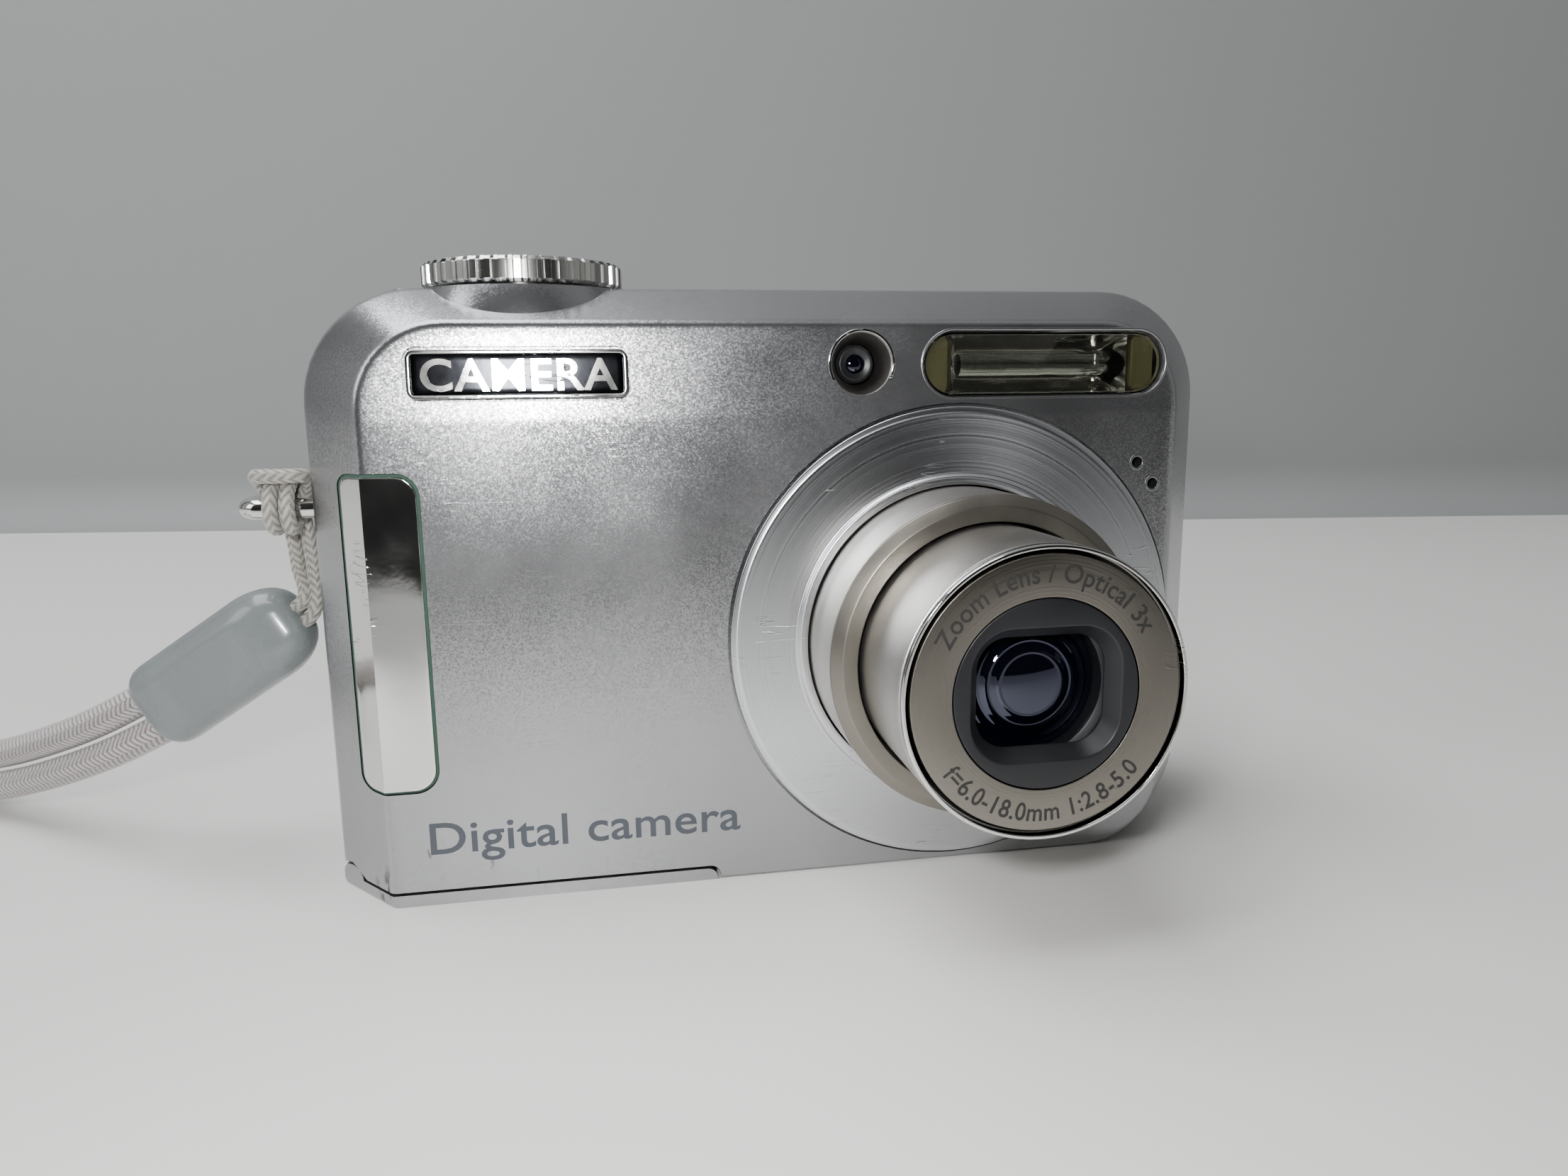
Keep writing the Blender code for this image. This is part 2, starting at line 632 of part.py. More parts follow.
def lens_barrels():
    """Outer barrel slides in the cam ring, inner barrel slides in the outer one."""
    outer_front = depth(-OUTER_REACH)
    bevel = 0.0007
    profile = [(OUTER_BORE, outer_front), (OUTER_RADIUS - bevel, outer_front),
               (OUTER_RADIUS, outer_front + bevel), (OUTER_RADIUS, outer_front + OUTER_LENGTH),
               (OUTER_BORE, outer_front + OUTER_LENGTH)]
    outer = turned("barrel_outer", profile, "Y", AXIS, "satin_metal", 48, lens_origin(-OUTER_REACH))
    front = depth(-INNER_REACH)
    seat = 0.0011
    shoulder_end = seat + 0.0026
    bore = INNER_RADIUS - INNER_LIP
    profile = [(bore, front), (INNER_RADIUS, front), (INNER_RADIUS, front + INNER_LENGTH),
               (bore, front + INNER_LENGTH), (bore, front + shoulder_end),
               (INNER_SHOULDER, front + shoulder_end), (INNER_SHOULDER, front + seat),
               (bore, front + seat)]
    inner = turned("barrel_inner", profile, "Y", AXIS, "satin_metal", 48, lens_origin(-INNER_REACH))
    ride(inner, outer)
    sunk = 0.0002
    name_ring = ring("name_ring", CAP_RADIUS + FIT_GAP, bore - FIT_GAP, "Y", AXIS, front + sunk,
                     front + seat - FIT_GAP, "dark_metal", 48)
    ride(name_ring, inner)
    ride(barrier_cap(front + sunk, front + seat + FIT_GAP), inner)
    blade_front = front + seat + 0.0012
    for side, label in ((1, "upper"), (-1, "lower")):
        ride(barrier_blade(f"barrier_blade_{label}", side, blade_front), inner)
    cell_front = blade_front + BLADE_THICKNESS + FIT_GAP
    cell_back = cell_front + 0.0040
    cell_radius = INNER_SHOULDER - FIT_GAP
    cell_profile = [(GLASS_BORE, cell_front + 0.0006), (GLASS_BORE + 0.0018, cell_front),
                    (cell_radius, cell_front), (cell_radius, cell_back), (GLASS_BORE, cell_back)]
    ride(turned("lens_cell", cell_profile, "Y", AXIS, "black_plastic", 28), inner)
    glass = GLASS_BORE - FIT_GAP
    lens = [(0.0, cell_front + 0.0004), (glass * 0.55, cell_front + 0.0007), (glass, cell_front + 0.0015),
            (glass, cell_front + 0.0036), (0.0, cell_front + 0.0036)]
    ride(turned("front_lens", lens, "Y", AXIS, "glass", 24), inner)
    return outer


def aperture(front, back, grow):
    """Tapered opening of the cap: wide at the front, narrower by grow at the back."""
    rings = []
    for along, extra in ((front, grow), (back, -grow)):
        outline = rounded_box(LENS_X, LENS_Z, APERTURE_WIDTH + extra, APERTURE_HEIGHT + extra, 0.0032)
        rings.append([place("Y", x, z, along) for x, z in outline])
    return rings


def barrier_cap(front, flange):
    back = flange + 0.0006
    profile = [(0.0, front), (CAP_RADIUS, front), (CAP_RADIUS, flange),
               (INNER_SHOULDER - FIT_GAP, flange), (INNER_SHOULDER - FIT_GAP, back), (0.0, back)]
    cap = turned("barrier_cap", profile, "Y", AXIS, "black_plastic", 36)
    cut(loft("cut_aperture", aperture(front - FIT_GAP, back + FIT_GAP, 0.0006), "black_plastic"), cap)
    return cap


def barrier_blade(name, side, front):
    """Circle segment that waits beyond the aperture and slides to the middle to close it."""
    radius = INNER_SHOULDER - 2 * FIT_GAP
    chord = APERTURE_HEIGHT / 2 + 0.0003
    half = math.degrees(math.acos(chord / radius))
    outline = [(LENS_X + a, LENS_Z + side * b) for a, b in arc(0.0, 0.0, radius, 90 - half, 90 + half, 16)]
    return prism(name, outline, "Y", front, front + BLADE_THICKNESS, "black_plastic",
                 (LENS_X, front, LENS_Z + side * chord))


def polar(centre, distance, angle):
    return (centre[0] + distance * math.cos(math.radians(angle)),
            centre[1] + distance * math.sin(math.radians(angle)))


def gear(name, tip, teeth, centre, low, high, key="nylon_gear"):
    outline = [(centre[0] + a, centre[1] + b) for a, b in toothed(tip, TOOTH_DEPTH, teeth)]
    return prism(name, outline, "Y", low, high, key, (centre[0], low, centre[1]), False)


def lens_drive():
    """Cam ring, its housing, and the motor that turns it through an idler gear."""
    gear_low, gear_high = depth(GEAR_START), depth(GEAR_END)
    cam_back = GEAR_END + 0.0004
    cam = ring("cam_ring", CAM_BORE, CAM_RADIUS, "Y", AXIS, depth(CAM_START), depth(cam_back),
               "black_plastic", 40)
    outline = [(LENS_X + a, LENS_Z + b) for a, b in toothed(CAM_GEAR_TIP, TOOTH_DEPTH, 30)]
    rim = prism("guide_cam_teeth", outline, "Y", gear_low, gear_high, "black_plastic", smooth=False)
    cut(disc("cut_cam_bore", (CAM_BORE + CAM_RADIUS) / 2, "Y", AXIS, gear_low - WALL, gear_high + WALL,
             "black_plastic", 40), rim)
    combine(cam, rim, "UNION")
    plate = LENS_BASE_DEPTH - LENS_BASE_PLATE
    profile = [(BASE_BORE, depth(CAM_START)), (LENS_BASE_RADIUS, depth(CAM_START)),
               (LENS_BASE_RADIUS, depth(LENS_BASE_DEPTH)), (0.0, depth(LENS_BASE_DEPTH)),
               (0.0, depth(plate)), (BASE_BORE, depth(plate))]
    base = turned("lens_base", profile, "Y", AXIS, "black_plastic", 40)
    window = rounded_box(LENS_X, LENS_Z, SENSOR_WIDTH + 2 * FIT_GAP, SENSOR_HEIGHT + 2 * FIT_GAP, 0.0004, 2)
    cut(prism("cut_sensor_window", window, "Y", depth(plate - WALL), depth(LENS_BASE_DEPTH + WALL),
              "black_plastic"), base)
    idler_at = polar(AXIS, CAM_GEAR_TIP + IDLER_TIP + FIT_GAP, -40)
    pinion_at = polar(idler_at, IDLER_TIP + PINION_TIP + FIT_GAP, 15)
    gear("idler_gear", IDLER_TIP, 10, idler_at, gear_low, gear_high)
    gear("motor_pinion", PINION_TIP, 6, pinion_at, gear_low, gear_high, "brass")
    cut(disc("cut_idler_window", IDLER_TIP + FIT_GAP, "Y", idler_at, gear_low - 2 * FIT_GAP,
             gear_high + 2 * FIT_GAP, "black_plastic", 20), base)
    disc("zoom_motor", 0.0037, "Y", pinion_at, depth(0.0078), gear_low - FIT_GAP, "satin_metal", 20)
    ring("focus_carrier", 0.0050, 0.0100, "Y", AXIS, depth(0.0154), depth(0.0166), "black_plastic", 24,
         lens_origin(0.0154))
    focus = disc("focus_lens", 0.0047, "Y", AXIS, depth(0.0155), depth(0.0165), "glass", 20)
    ride(focus, bpy.data.objects["focus_carrier"])


def electronics():
    half_w, half_h = SENSOR_WIDTH / 2, SENSOR_HEIGHT / 2
    back = LENS_BASE_DEPTH
    block("image_sensor", (LENS_X - half_w, depth(back - 0.0008), LENS_Z - half_h),
          (LENS_X + half_w, depth(back + 0.0006), LENS_Z + half_h), "glass")
    board_front = depth(back + 0.0006 + FIT_GAP)
    board_back = board_front + BOARD_THICKNESS
    block("main_board", (LENS_X - 0.0225, board_front, 0.0070), (RIGHT - 0.0042, board_back, 0.0455),
          "board_green")
    panel_front = board_back + FIT_GAP
    half = (SCREEN_WIDTH / 2 - 0.0022, SCREEN_HEIGHT / 2 - 0.0022)
    block("lcd_panel", (SCREEN_X - half[0], panel_front, SCREEN_Z - half[1]),
          (SCREEN_X + half[0], depth(BODY_DEPTH - WALL), SCREEN_Z + half[1]), "black_plastic")
    block("button_board", (ROCKER_X - 0.0098, depth(KEY_BOARD_DEPTH), 0.0065),
          (KEYS[0][1] + 0.0030, depth(KEY_BOARD_DEPTH + KEY_BOARD_THICKNESS), ROCKER_Z + 0.0037),
          "board_green")


# ---------------------------------------------------------------- top controls

def mode_dial():
    low = BODY_HEIGHT + FIT_GAP
    high = low + DIAL_HEIGHT
    centre = (DIAL_X, depth(DIAL_DEPTH))
    rings = []
    for along, inset, flute in ((low, 0.0, 0.00045), (high - 0.0004, 0.0, 0.00045), (high, 0.0005, 0.0001)):
        outline = fluted(DIAL_RADIUS - inset, flute, DIAL_FLUTES)
        rings.append([place("Z", centre[0] + a, centre[1] + b, along) for a, b in outline])
    dial = loft("mode_dial", rings, "chrome", (*centre, low))
    sleeve = disc("guide_dial_sleeve", DIAL_SLEEVE, "Z", centre, BODY_HEIGHT - 0.0024,
                  high - 0.0010, "chrome", 28)
    combine(dial, sleeve, "UNION")
    well = disc("cut_dial_well", DIAL_BORE, "Z", centre, BODY_HEIGHT - 2 * WALL, high + WALL,
                "chrome", 28)
    cut(well, dial)


def shutter_button():
    """Domed button on a stem inside the dial's well."""
    centre = (DIAL_X, depth(DIAL_DEPTH))
    top = BODY_HEIGHT + FIT_GAP + DIAL_HEIGHT
    radius = DIAL_BORE - FIT_GAP
    skirt = top - DIAL_HEIGHT / 2
    stem_low = skirt - SHUTTER_TRAVEL - 0.0029
    profile = [(0.0, top + 0.0007), (radius * 0.5, top + 0.0006), (radius * 0.85, top + 0.0003),
               (radius, top - 0.0002), (radius, skirt), (SHUTTER_STEM, skirt),
               (SHUTTER_STEM, stem_low), (0.0, stem_low)]
    turned("shutter_button", profile, "Z", centre, "chrome", 24)


def power_button():
    low = BODY_HEIGHT - 0.0016
    top = BODY_HEIGHT + POWER_TRAVEL + 0.0002
    profile = [(0.0, top), (POWER_RADIUS - 0.0004, top), (POWER_RADIUS, top - 0.0003), (POWER_RADIUS, low),
               (0.0, low)]
    turned("power_button", profile, "Z", (POWER_X, depth(POWER_DEPTH)), "chrome", 20)


# ---------------------------------------------------------------- rear controls

def screen(cover):
    opening = rounded_box(SCREEN_X, SCREEN_Z, SCREEN_WIDTH + 2 * FIT_GAP, SCREEN_HEIGHT + 2 * FIT_GAP,
                          0.0019)
    cut(prism("cut_screen", opening, "Y", REAR - 2 * WALL, REAR + WALL, "rear_plastic"), cover)
    outline = rounded_box(SCREEN_X, SCREEN_Z, SCREEN_WIDTH, SCREEN_HEIGHT, 0.0016)
    prism("lcd_window", outline, "Y", REAR - WALL + FIT_GAP, REAR + 0.0002, "glass")


def rear_button(name, cover, x, z, radius=BUTTON_RADIUS):
    low = REAR - WALL - 0.0004
    top = REAR + BUTTON_PROUD
    profile = [(0.0, low), (radius, low), (radius, top - 0.0003), (radius - 0.0003, top), (0.0, top)]
    cut(disc(f"cut_{name}", radius + FIT_GAP, "Y", (x, z), REAR - 2 * WALL, REAR + WALL,
             "rear_plastic", 20), cover)
    return turned(name, profile, "Y", (x, z), "satin_metal", 20)


def control_pad(cover):
    """Four-way ring that tips on a small gimbal around the centre button."""
    cut(disc("cut_pad", PAD_RADIUS + FIT_GAP, "Y", (PAD_X, PAD_Z), REAR - 2 * WALL, REAR + WALL,
             "rear_plastic", 32), cover)
    low = REAR - WALL + 0.0002
    top = REAR + BUTTON_PROUD
    bore = PAD_BORE + FIT_GAP
    middle = (PAD_X, REAR, PAD_Z)
    profile = [(bore, low), (PAD_RADIUS, low), (PAD_RADIUS, REAR + 0.0001), (PAD_RADIUS - 0.0008, top),
               (bore + 0.0006, top - 0.0002), (bore, top - 0.0005)]
    pad = turned("control_pad", profile, "Y", (PAD_X, PAD_Z), "satin_metal", 32, middle)
    gimbal_low = depth(KEY_BOARD_DEPTH + KEY_BOARD_THICKNESS) + FIT_GAP
    gimbal = ring("pad_gimbal", bore, bore + 0.0014, "Y", (PAD_X, PAD_Z), gimbal_low, low - FIT_GAP,
                  "black_plastic", 20, middle)
    ride(pad, gimbal)
    button_low = gimbal_low + BUTTON_TRAVEL
    profile = [(0.0, button_low), (PAD_BORE, button_low), (PAD_BORE, top - 0.0003),
               (PAD_BORE - 0.0003, top - 0.0001), (0.0, top - 0.0001)]
    turned("centre_button", profile, "Y", (PAD_X, PAD_Z), "satin_metal", 20)


def zoom_rocker(cover):
    opening = rounded_box(ROCKER_X, ROCKER_Z, ROCKER_WIDTH + 2 * FIT_GAP, ROCKER_HEIGHT + 2 * FIT_GAP,
                          0.0022)
    cut(prism("cut_rocker", opening, "Y", REAR - 2 * WALL, REAR + WALL, "rear_plastic"), cover)
    outline = rounded_box(ROCKER_X, ROCKER_Z, ROCKER_WIDTH, ROCKER_HEIGHT, 0.0019)
    prism("zoom_rocker", outline, "Y", REAR - WALL + 0.0001, REAR + BUTTON_PROUD + 0.0001, "satin_metal",
          (ROCKER_X, REAR - 0.0004, ROCKER_Z))


# ---------------------------------------------------------------- battery room

KNUCKLE_AT = (LEFT + DOOR_KNUCKLE, DOOR_KNUCKLE)


def door_outline(margin):
    """Door section across the width: a plate that ends in the hinge knuckle on the left.

    The heel is round, so that it stays inside the knuckle's room as the door swings.
    """
    top = DOOR_THICKNESS + margin
    radius = DOOR_KNUCKLE + margin
    start = math.degrees(math.asin((top - KNUCKLE_AT[1]) / radius))
    base = -4 * margin
    heel = DOOR_HEEL + margin
    heel_at = (KNUCKLE_AT[0] - radius + heel, KNUCKLE_AT[1] - radius + heel)
    knuckle = arc(*KNUCKLE_AT, radius, start, 180, 10) + arc(*heel_at, heel, 180, 270, 5)
    corner = DOOR_CORNER
    right = DOOR_RIGHT + margin
    curve = arc(right - corner, top - corner, corner, 0, 90, 5)
    return [(right, base)] + curve + knuckle


def hinge_section(name, margin, low, high):
    """Room for the body's hinge ear in the middle of the door's knuckle."""
    reach = DOOR_KNUCKLE + margin
    return block(name, (LEFT - reach, low, -reach), (KNUCKLE_AT[0] + reach + FIT_GAP, high, 3 * reach),
                 "silver_paint")


def battery_door(covers):
    door = prism("battery_door", door_outline(0.0), "Y", FRONT - WALL, REAR + WALL, "silver_paint",
                 (KNUCKLE_AT[0], depth(CELL_DEPTH), KNUCKLE_AT[1]))
    combine(door, outer_form("guide_door_outside"), "INTERSECT")
    room = prism("cut_door_room", door_outline(FIT_GAP), "Y", FRONT - WALL, REAR + WALL, "silver_paint")
    cut(room, *covers)
    left, ledge = LEFT + WALL + 0.0008, 0.0034
    opening = [(left, depth(CHAMFER_DEPTH + 0.0010)), (LEFT + CHAMFER_SIDE + 0.0014, depth(WALL + FIT_GAP)),
               (DOOR_RIGHT - 0.0012, depth(WALL + FIT_GAP)), (DOOR_RIGHT - 0.0012, depth(BODY_DEPTH - ledge)),
               (left, depth(BODY_DEPTH - ledge))]
    cut(prism("cut_battery_opening", opening, "Z", -WALL, 2 * WALL, "silver_paint"), *covers)
    ear_low, ear_high = depth(EAR_START), depth(EAR_END)
    ear = disc("guide_hinge_ear", DOOR_KNUCKLE, "Y", KNUCKLE_AT, ear_low, ear_high, "rear_plastic", 28)
    post = block("guide_ear_post", (LEFT, ear_low, KNUCKLE_AT[1]),
                 (LEFT + DOOR_KNUCKLE, ear_high, 2 * DOOR_KNUCKLE + 2 * FIT_GAP), "rear_plastic")
    combine(covers[1], post, "UNION")
    combine(covers[1], ear, "UNION")
    cut(hinge_section("cut_ear_room", FIT_GAP, ear_low - FIT_GAP, ear_high + FIT_GAP), door)
    pin_low, pin_high = depth(PIN_START), REAR - REAR_EDGE_RADIUS
    bore = disc("cut_door_bore", DOOR_PIN + FIT_GAP / 2, "Y", KNUCKLE_AT, pin_low - FIT_GAP,
                pin_high + FIT_GAP, "chrome", 16)
    cut(bore, door, covers[1])
    disc("door_hinge_pin", DOOR_PIN, "Y", KNUCKLE_AT, pin_low, pin_high, "chrome", 12)
    right = DOOR_RIGHT - 0.0020
    left = right - LATCH_WIDTH
    front, back = -LATCH_LENGTH / 2, LATCH_LENGTH / 2
    low, high = 0.0001, 0.0001 + LATCH_THICKNESS
    pocket = block("cut_latch_pocket", (left - LATCH_TRAVEL - FIT_GAP, front - FIT_GAP, -WALL),
                   (right + FIT_GAP, back + FIT_GAP, high + FIT_GAP), "silver_paint")
    cut(pocket, door)
    slider = block("door_latch", (left, front, low), (right, back, high), "rear_plastic",
                   (left + LATCH_WIDTH / 2, 0.0, low))
    ride(slider, door)
    strip_low = DOOR_THICKNESS + FIT_GAP
    strip = block("contact_strip", (CELL_LEFT_X - 0.0040, depth(CELL_DEPTH - 0.0030), strip_low),
                  (CELL_RIGHT_X + 0.0040, depth(CELL_DEPTH + 0.0030), strip_low + 0.0004), "brass")
    ride(strip, door)


def battery_room():
    """Cradle with two cell bores, the cells in it, and the card slot beside it."""
    low = 2 * DOOR_KNUCKLE + 0.0005
    cell_low = low + FIT_GAP
    bore = CELL_RADIUS + FIT_GAP
    wall = CRADLE_WALL
    high = cell_low + CELL_LENGTH + FIT_GAP + wall
    cradle = block("battery_cradle", (CELL_LEFT_X - bore - wall, depth(CELL_DEPTH) - bore - wall, low),
                   (CELL_RIGHT_X + bore + wall, depth(CELL_DEPTH) + bore + wall, high), "black_plastic")
    inside = WALL + FIT_GAP
    combine(cradle, loft("guide_cradle_inside", front_rings(inside) + rear_rings(inside),
                         "black_plastic"), "INTERSECT")
    for index, x in enumerate((CELL_LEFT_X, CELL_RIGHT_X)):
        centre = (x, depth(CELL_DEPTH))
        cut(disc(f"cut_cell_{index}", bore, "Z", centre, low - WALL, high - wall, "black_plastic", 24),
            cradle)
        body_low = cell_low if index == 0 else cell_low + NUB_LENGTH
        body_high = body_low + CELL_LENGTH - NUB_LENGTH
        profile = [(0.0, body_low), (CELL_RADIUS, body_low), (CELL_RADIUS, body_high),
                   (NUB_RADIUS, body_high), (NUB_RADIUS, body_high + NUB_LENGTH),
                   (0.0, body_high + NUB_LENGTH)]
        if index == 1:
            profile = [(0.0, cell_low), (NUB_RADIUS, cell_low), (NUB_RADIUS, body_low),
                       (CELL_RADIUS, body_low), (CELL_RADIUS, body_high), (0.0, body_high)]
        turned(f"battery_{index + 1}", profile, "Z", centre, "cell_jacket", 24)
    cut(block("cut_between_cells", (CELL_LEFT_X, depth(CELL_DEPTH) - bore / 3, low - WALL),
              (CELL_RIGHT_X, depth(CELL_DEPTH) + bore / 3, high - wall), "black_plastic"), cradle)
    middle = -FIT_GAP
    card_low = low + FIT_GAP

    def card_box(name, margin, bottom, key):
        """Block round the card, larger by the margin on every side but its bottom."""
        across, along = CARD_THICKNESS / 2 + margin, CARD_WIDTH / 2 + margin
        return block(name, (CARD_X - across, middle - along, bottom),
                     (CARD_X + across, middle + along, card_low + CARD_LENGTH + margin), key)

    card_box("memory_card", 0.0, card_low, "black_plastic")
    slot = card_box("card_slot", FIT_GAP + wall, low, "satin_metal")
    cut(card_box("cut_card_slot", FIT_GAP, low - WALL, "satin_metal"), slot)


# ---------------------------------------------------------------- base and right side

def base_pieces(cover):
    centre = (SOCKET_X, depth(SOCKET_DEPTH))
    cut(disc("cut_tripod", SOCKET_RADIUS + FIT_GAP, "Z", centre, -WALL, WALL * 2, "brass", 24), cover)
    ring("tripod_socket", SOCKET_BORE, SOCKET_RADIUS, "Z", centre, 0.0001, 0.0044, "brass", 24)
    head_low, head_high = 0.0002, 0.0008
    for index, (x, at) in enumerate(SCREWS):
        spot = (x, depth(at))
        cut(disc(f"cut_screw_{index}", SCREW_RADIUS + FIT_GAP, "Z", spot, -WALL, head_high + FIT_GAP,
                 "chrome", 14), cover)
        head = disc(f"base_screw_{index + 1}", SCREW_RADIUS, "Z", spot, head_low, head_high, "chrome", 14)
        cross = block(f"cut_cross_{index}", (spot[0] - 0.0008, spot[1] - 0.00018, -WALL),
                      (spot[0] + 0.0008, spot[1] + 0.00018, 0.0005), "chrome")
        cut(cross, head)


def jack(cover):
    """Hinged flap in the right wall over a two-way socket."""
    low, high = JACK_COVER_LOW, JACK_COVER_HIGH
    start = depth(JACK_COVER_START)
    end = start + JACK_COVER_LENGTH
    axis_at = (RIGHT - JACK_KNUCKLE, start + JACK_KNUCKLE)
    plate = [(RIGHT - JACK_COVER_THICKNESS, axis_at[1]), (RIGHT - JACK_COVER_THICKNESS, end), (RIGHT, end),
             (RIGHT, axis_at[1])]
    knuckle = arc(*axis_at, JACK_KNUCKLE, 0, -180, 10)
    inner = [(axis_at[0] - JACK_KNUCKLE, axis_at[1] + 0.0002)]
    outline = knuckle + inner + plate[:3]
    prism("jack_cover", outline, "Z", low, high, "rear_plastic", (*axis_at, low), False)
    gap = FIT_GAP
    cut(block("cut_jack_window", (RIGHT - 2 * WALL, start - gap, low - gap),
              (RIGHT + WALL, end + gap, high + gap), "rear_plastic"), cover)
    socket_right = RIGHT - WALL - gap
    socket = block("jack_socket", (socket_right - JACK_WIDTH, depth(JACK_START), low - JACK_WALL),
                   (socket_right, depth(JACK_END), high + JACK_WALL), "satin_metal")
    for index, (bottom, top) in enumerate(((0.0010, 0.0066), (0.0094, 0.0150))):
        hole = block(f"cut_jack_{index}",
                     (socket_right - JACK_REACH, depth(JACK_START + JACK_WALL), low + bottom),
                     (socket_right + WALL, depth(JACK_END - JACK_WALL), low + top), "satin_metal")
        cut(hole, socket)


# ---------------------------------------------------------------- strap

def lug_path():
    front, rear = depth(LUG_DEPTH), depth(LUG_DEPTH + LUG_SPACING)
    inner = LEFT + WALL - 0.0003
    outer = LEFT - LUG_REACH
    bend = 0.0014
    corner_a = arc(outer + bend, front + bend, bend, 270, 180, 4)
    corner_b = arc(outer + bend, rear - bend, bend, 180, 90, 4)
    flat = [(inner, front)] + corner_a + corner_b + [(inner, rear)]
    return [Vector((x, y, LUG_Z)) for x, y in flat]


def strap_lug(covers):
    tube("strap_lug", lug_path(), LUG_RADIUS, "chrome", 2)
    for index, (cover, at) in enumerate(zip(covers, (LUG_DEPTH, LUG_DEPTH + LUG_SPACING))):
        cut(disc(f"cut_lug_{index}", LUG_RADIUS + FIT_GAP, "X", (depth(at), LUG_Z), LEFT - WALL,
                 LEFT + 2 * WALL, "chrome", 16), cover)


BEAD_TOP = Vector((-0.0487, depth(0.0120), 0.0272))
BEAD_AXIS = Vector((-0.800, 0.280, -0.530)).normalized()
BEAD_FACING = Vector((0.10, -0.97, 0.20))
BEAD_ACROSS = BEAD_AXIS.cross(BEAD_FACING).normalized()
BEAD_UP = BEAD_ACROSS.cross(BEAD_AXIS).normalized()


def bead_point(along, across, lift=0.0):
    return BEAD_TOP + BEAD_AXIS * along + BEAD_ACROSS * across + BEAD_UP * lift


def bead_ring(along, width, thickness, radius):
    return [bead_point(along, a, b) for a, b in rounded_box(0.0, 0.0, width, thickness, radius, 3)]


def strap_bead():
    """Slim moulded bead: domed where the thin cord enters, open where the thick strands leave."""
    rings = []
    dome = 0.0052
    for i in range(6):
        angle = math.radians(12 + 15.6 * i)
        share = math.sin(angle)
        rings.append(bead_ring(dome * (1.0 - math.cos(angle)), BEAD_WIDTH * (0.30 + 0.70 * share),
                               BEAD_THICKNESS * (0.36 + 0.64 * share), 0.0010 + 0.0016 * share))
    rings.append(bead_ring(BEAD_LENGTH - 0.0006, BEAD_WIDTH, BEAD_THICKNESS, 0.0024))
    rings.append(bead_ring(BEAD_LENGTH, BEAD_WIDTH - 0.0010, BEAD_THICKNESS - 0.0010, 0.0020))
    bead = loft("strap_bead", rings, "bead_grey")
    narrow = [[bead_point(along, a, b) for a, b in
               stadium(0.0, 0.0, 4 * THIN_CORD_RADIUS + 0.0009, 2 * THIN_CORD_RADIUS + 0.0006, 5)]
              for along in (-0.0020, BEAD_LENGTH / 2)]
    wide = [[bead_point(along, a, b) for a, b in
             stadium(0.0, 0.0, 4 * THICK_CORD_RADIUS + 0.0016, 2 * THICK_CORD_RADIUS + 0.0010, 6)]
            for along in (BEAD_LENGTH * 0.45, BEAD_LENGTH + 0.0020)]
    cut(loft("cut_bead_narrow", narrow, "bead_grey"), bead)
    cut(loft("cut_bead_wide", wide, "bead_grey"), bead)


def around_lug(x, angle, radius):
    """Point beside the lug's front leg; the angle is 0 in front of it and 90 above it."""
    turn = math.radians(angle)
    return Vector((x, depth(LUG_DEPTH) - radius * math.cos(turn), LUG_Z + radius * math.sin(turn)))


def knot_half(x, outward):
    """One strand of the girth hitch, from the tail behind the lug to the end of the bight."""
    turns = ((0.0, 180, 0.0034), (0.0, 145, 0.0033), (0.0, 112, 0.0028), (0.0, 80, 0.0022),
             (0.0, 45, 0.00195), (0.0, 0, 0.00193), (0.0, -50, 0.00193), (0.0, -100, 0.00193),
             (0.0, -150, 0.00193), (0.0003, -190, 0.00195), (0.0009, -216, 0.0021),
             (0.0013, -241, 0.0025), (0.00135, -266, 0.0030), (0.0010, -290, 0.0034))
    return [around_lug(x + outward * shift, angle, radius) for shift, angle, radius in turns]


def thin_route():
    """Tail, girth hitch round the lug, and the second tail back to the bead."""
    right_x, left_x = -0.0478, -0.0493
    tail_a = [bead_point(0.0040, -0.0008), bead_point(-0.0012, -0.0008),
              Vector((-0.0471, depth(0.0125), 0.0315)), Vector((-0.0474, depth(0.0127), 0.0350))]
    tail_b = [Vector((-0.0489, depth(0.0129), 0.0350)), Vector((-0.0487, depth(0.0131), 0.0318)),
              bead_point(-0.0012, 0.0008), bead_point(0.0040, 0.0008)]
    first = knot_half(right_x, 1.0)
    second = knot_half(left_x, -1.0)[::-1]
    bight = [around_lug((right_x + left_x) / 2, 64, 0.00355)]
    return tail_a + first + bight + second + tail_b


THICK_CENTRE = (
    (-0.0760, 0.0245, 0.0108), (-0.0900, 0.0345, 0.0056), (-0.1030, 0.0425, 0.0037),
    (-0.1150, 0.0440, 0.0024), (-0.1230, 0.0365, 0.0021), (-0.1225, 0.0260, 0.0021),
    (-0.1150, 0.0180, 0.0021), (-0.1050, 0.0135, 0.0021), (-0.0950, 0.0110, 0.0021))
STRAND_HALF = THICK_CORD_RADIUS + 0.00025
BEND_HALF = 0.0066
STACKED_SHARE = 0.33
LEVEL_SHARE = 0.50


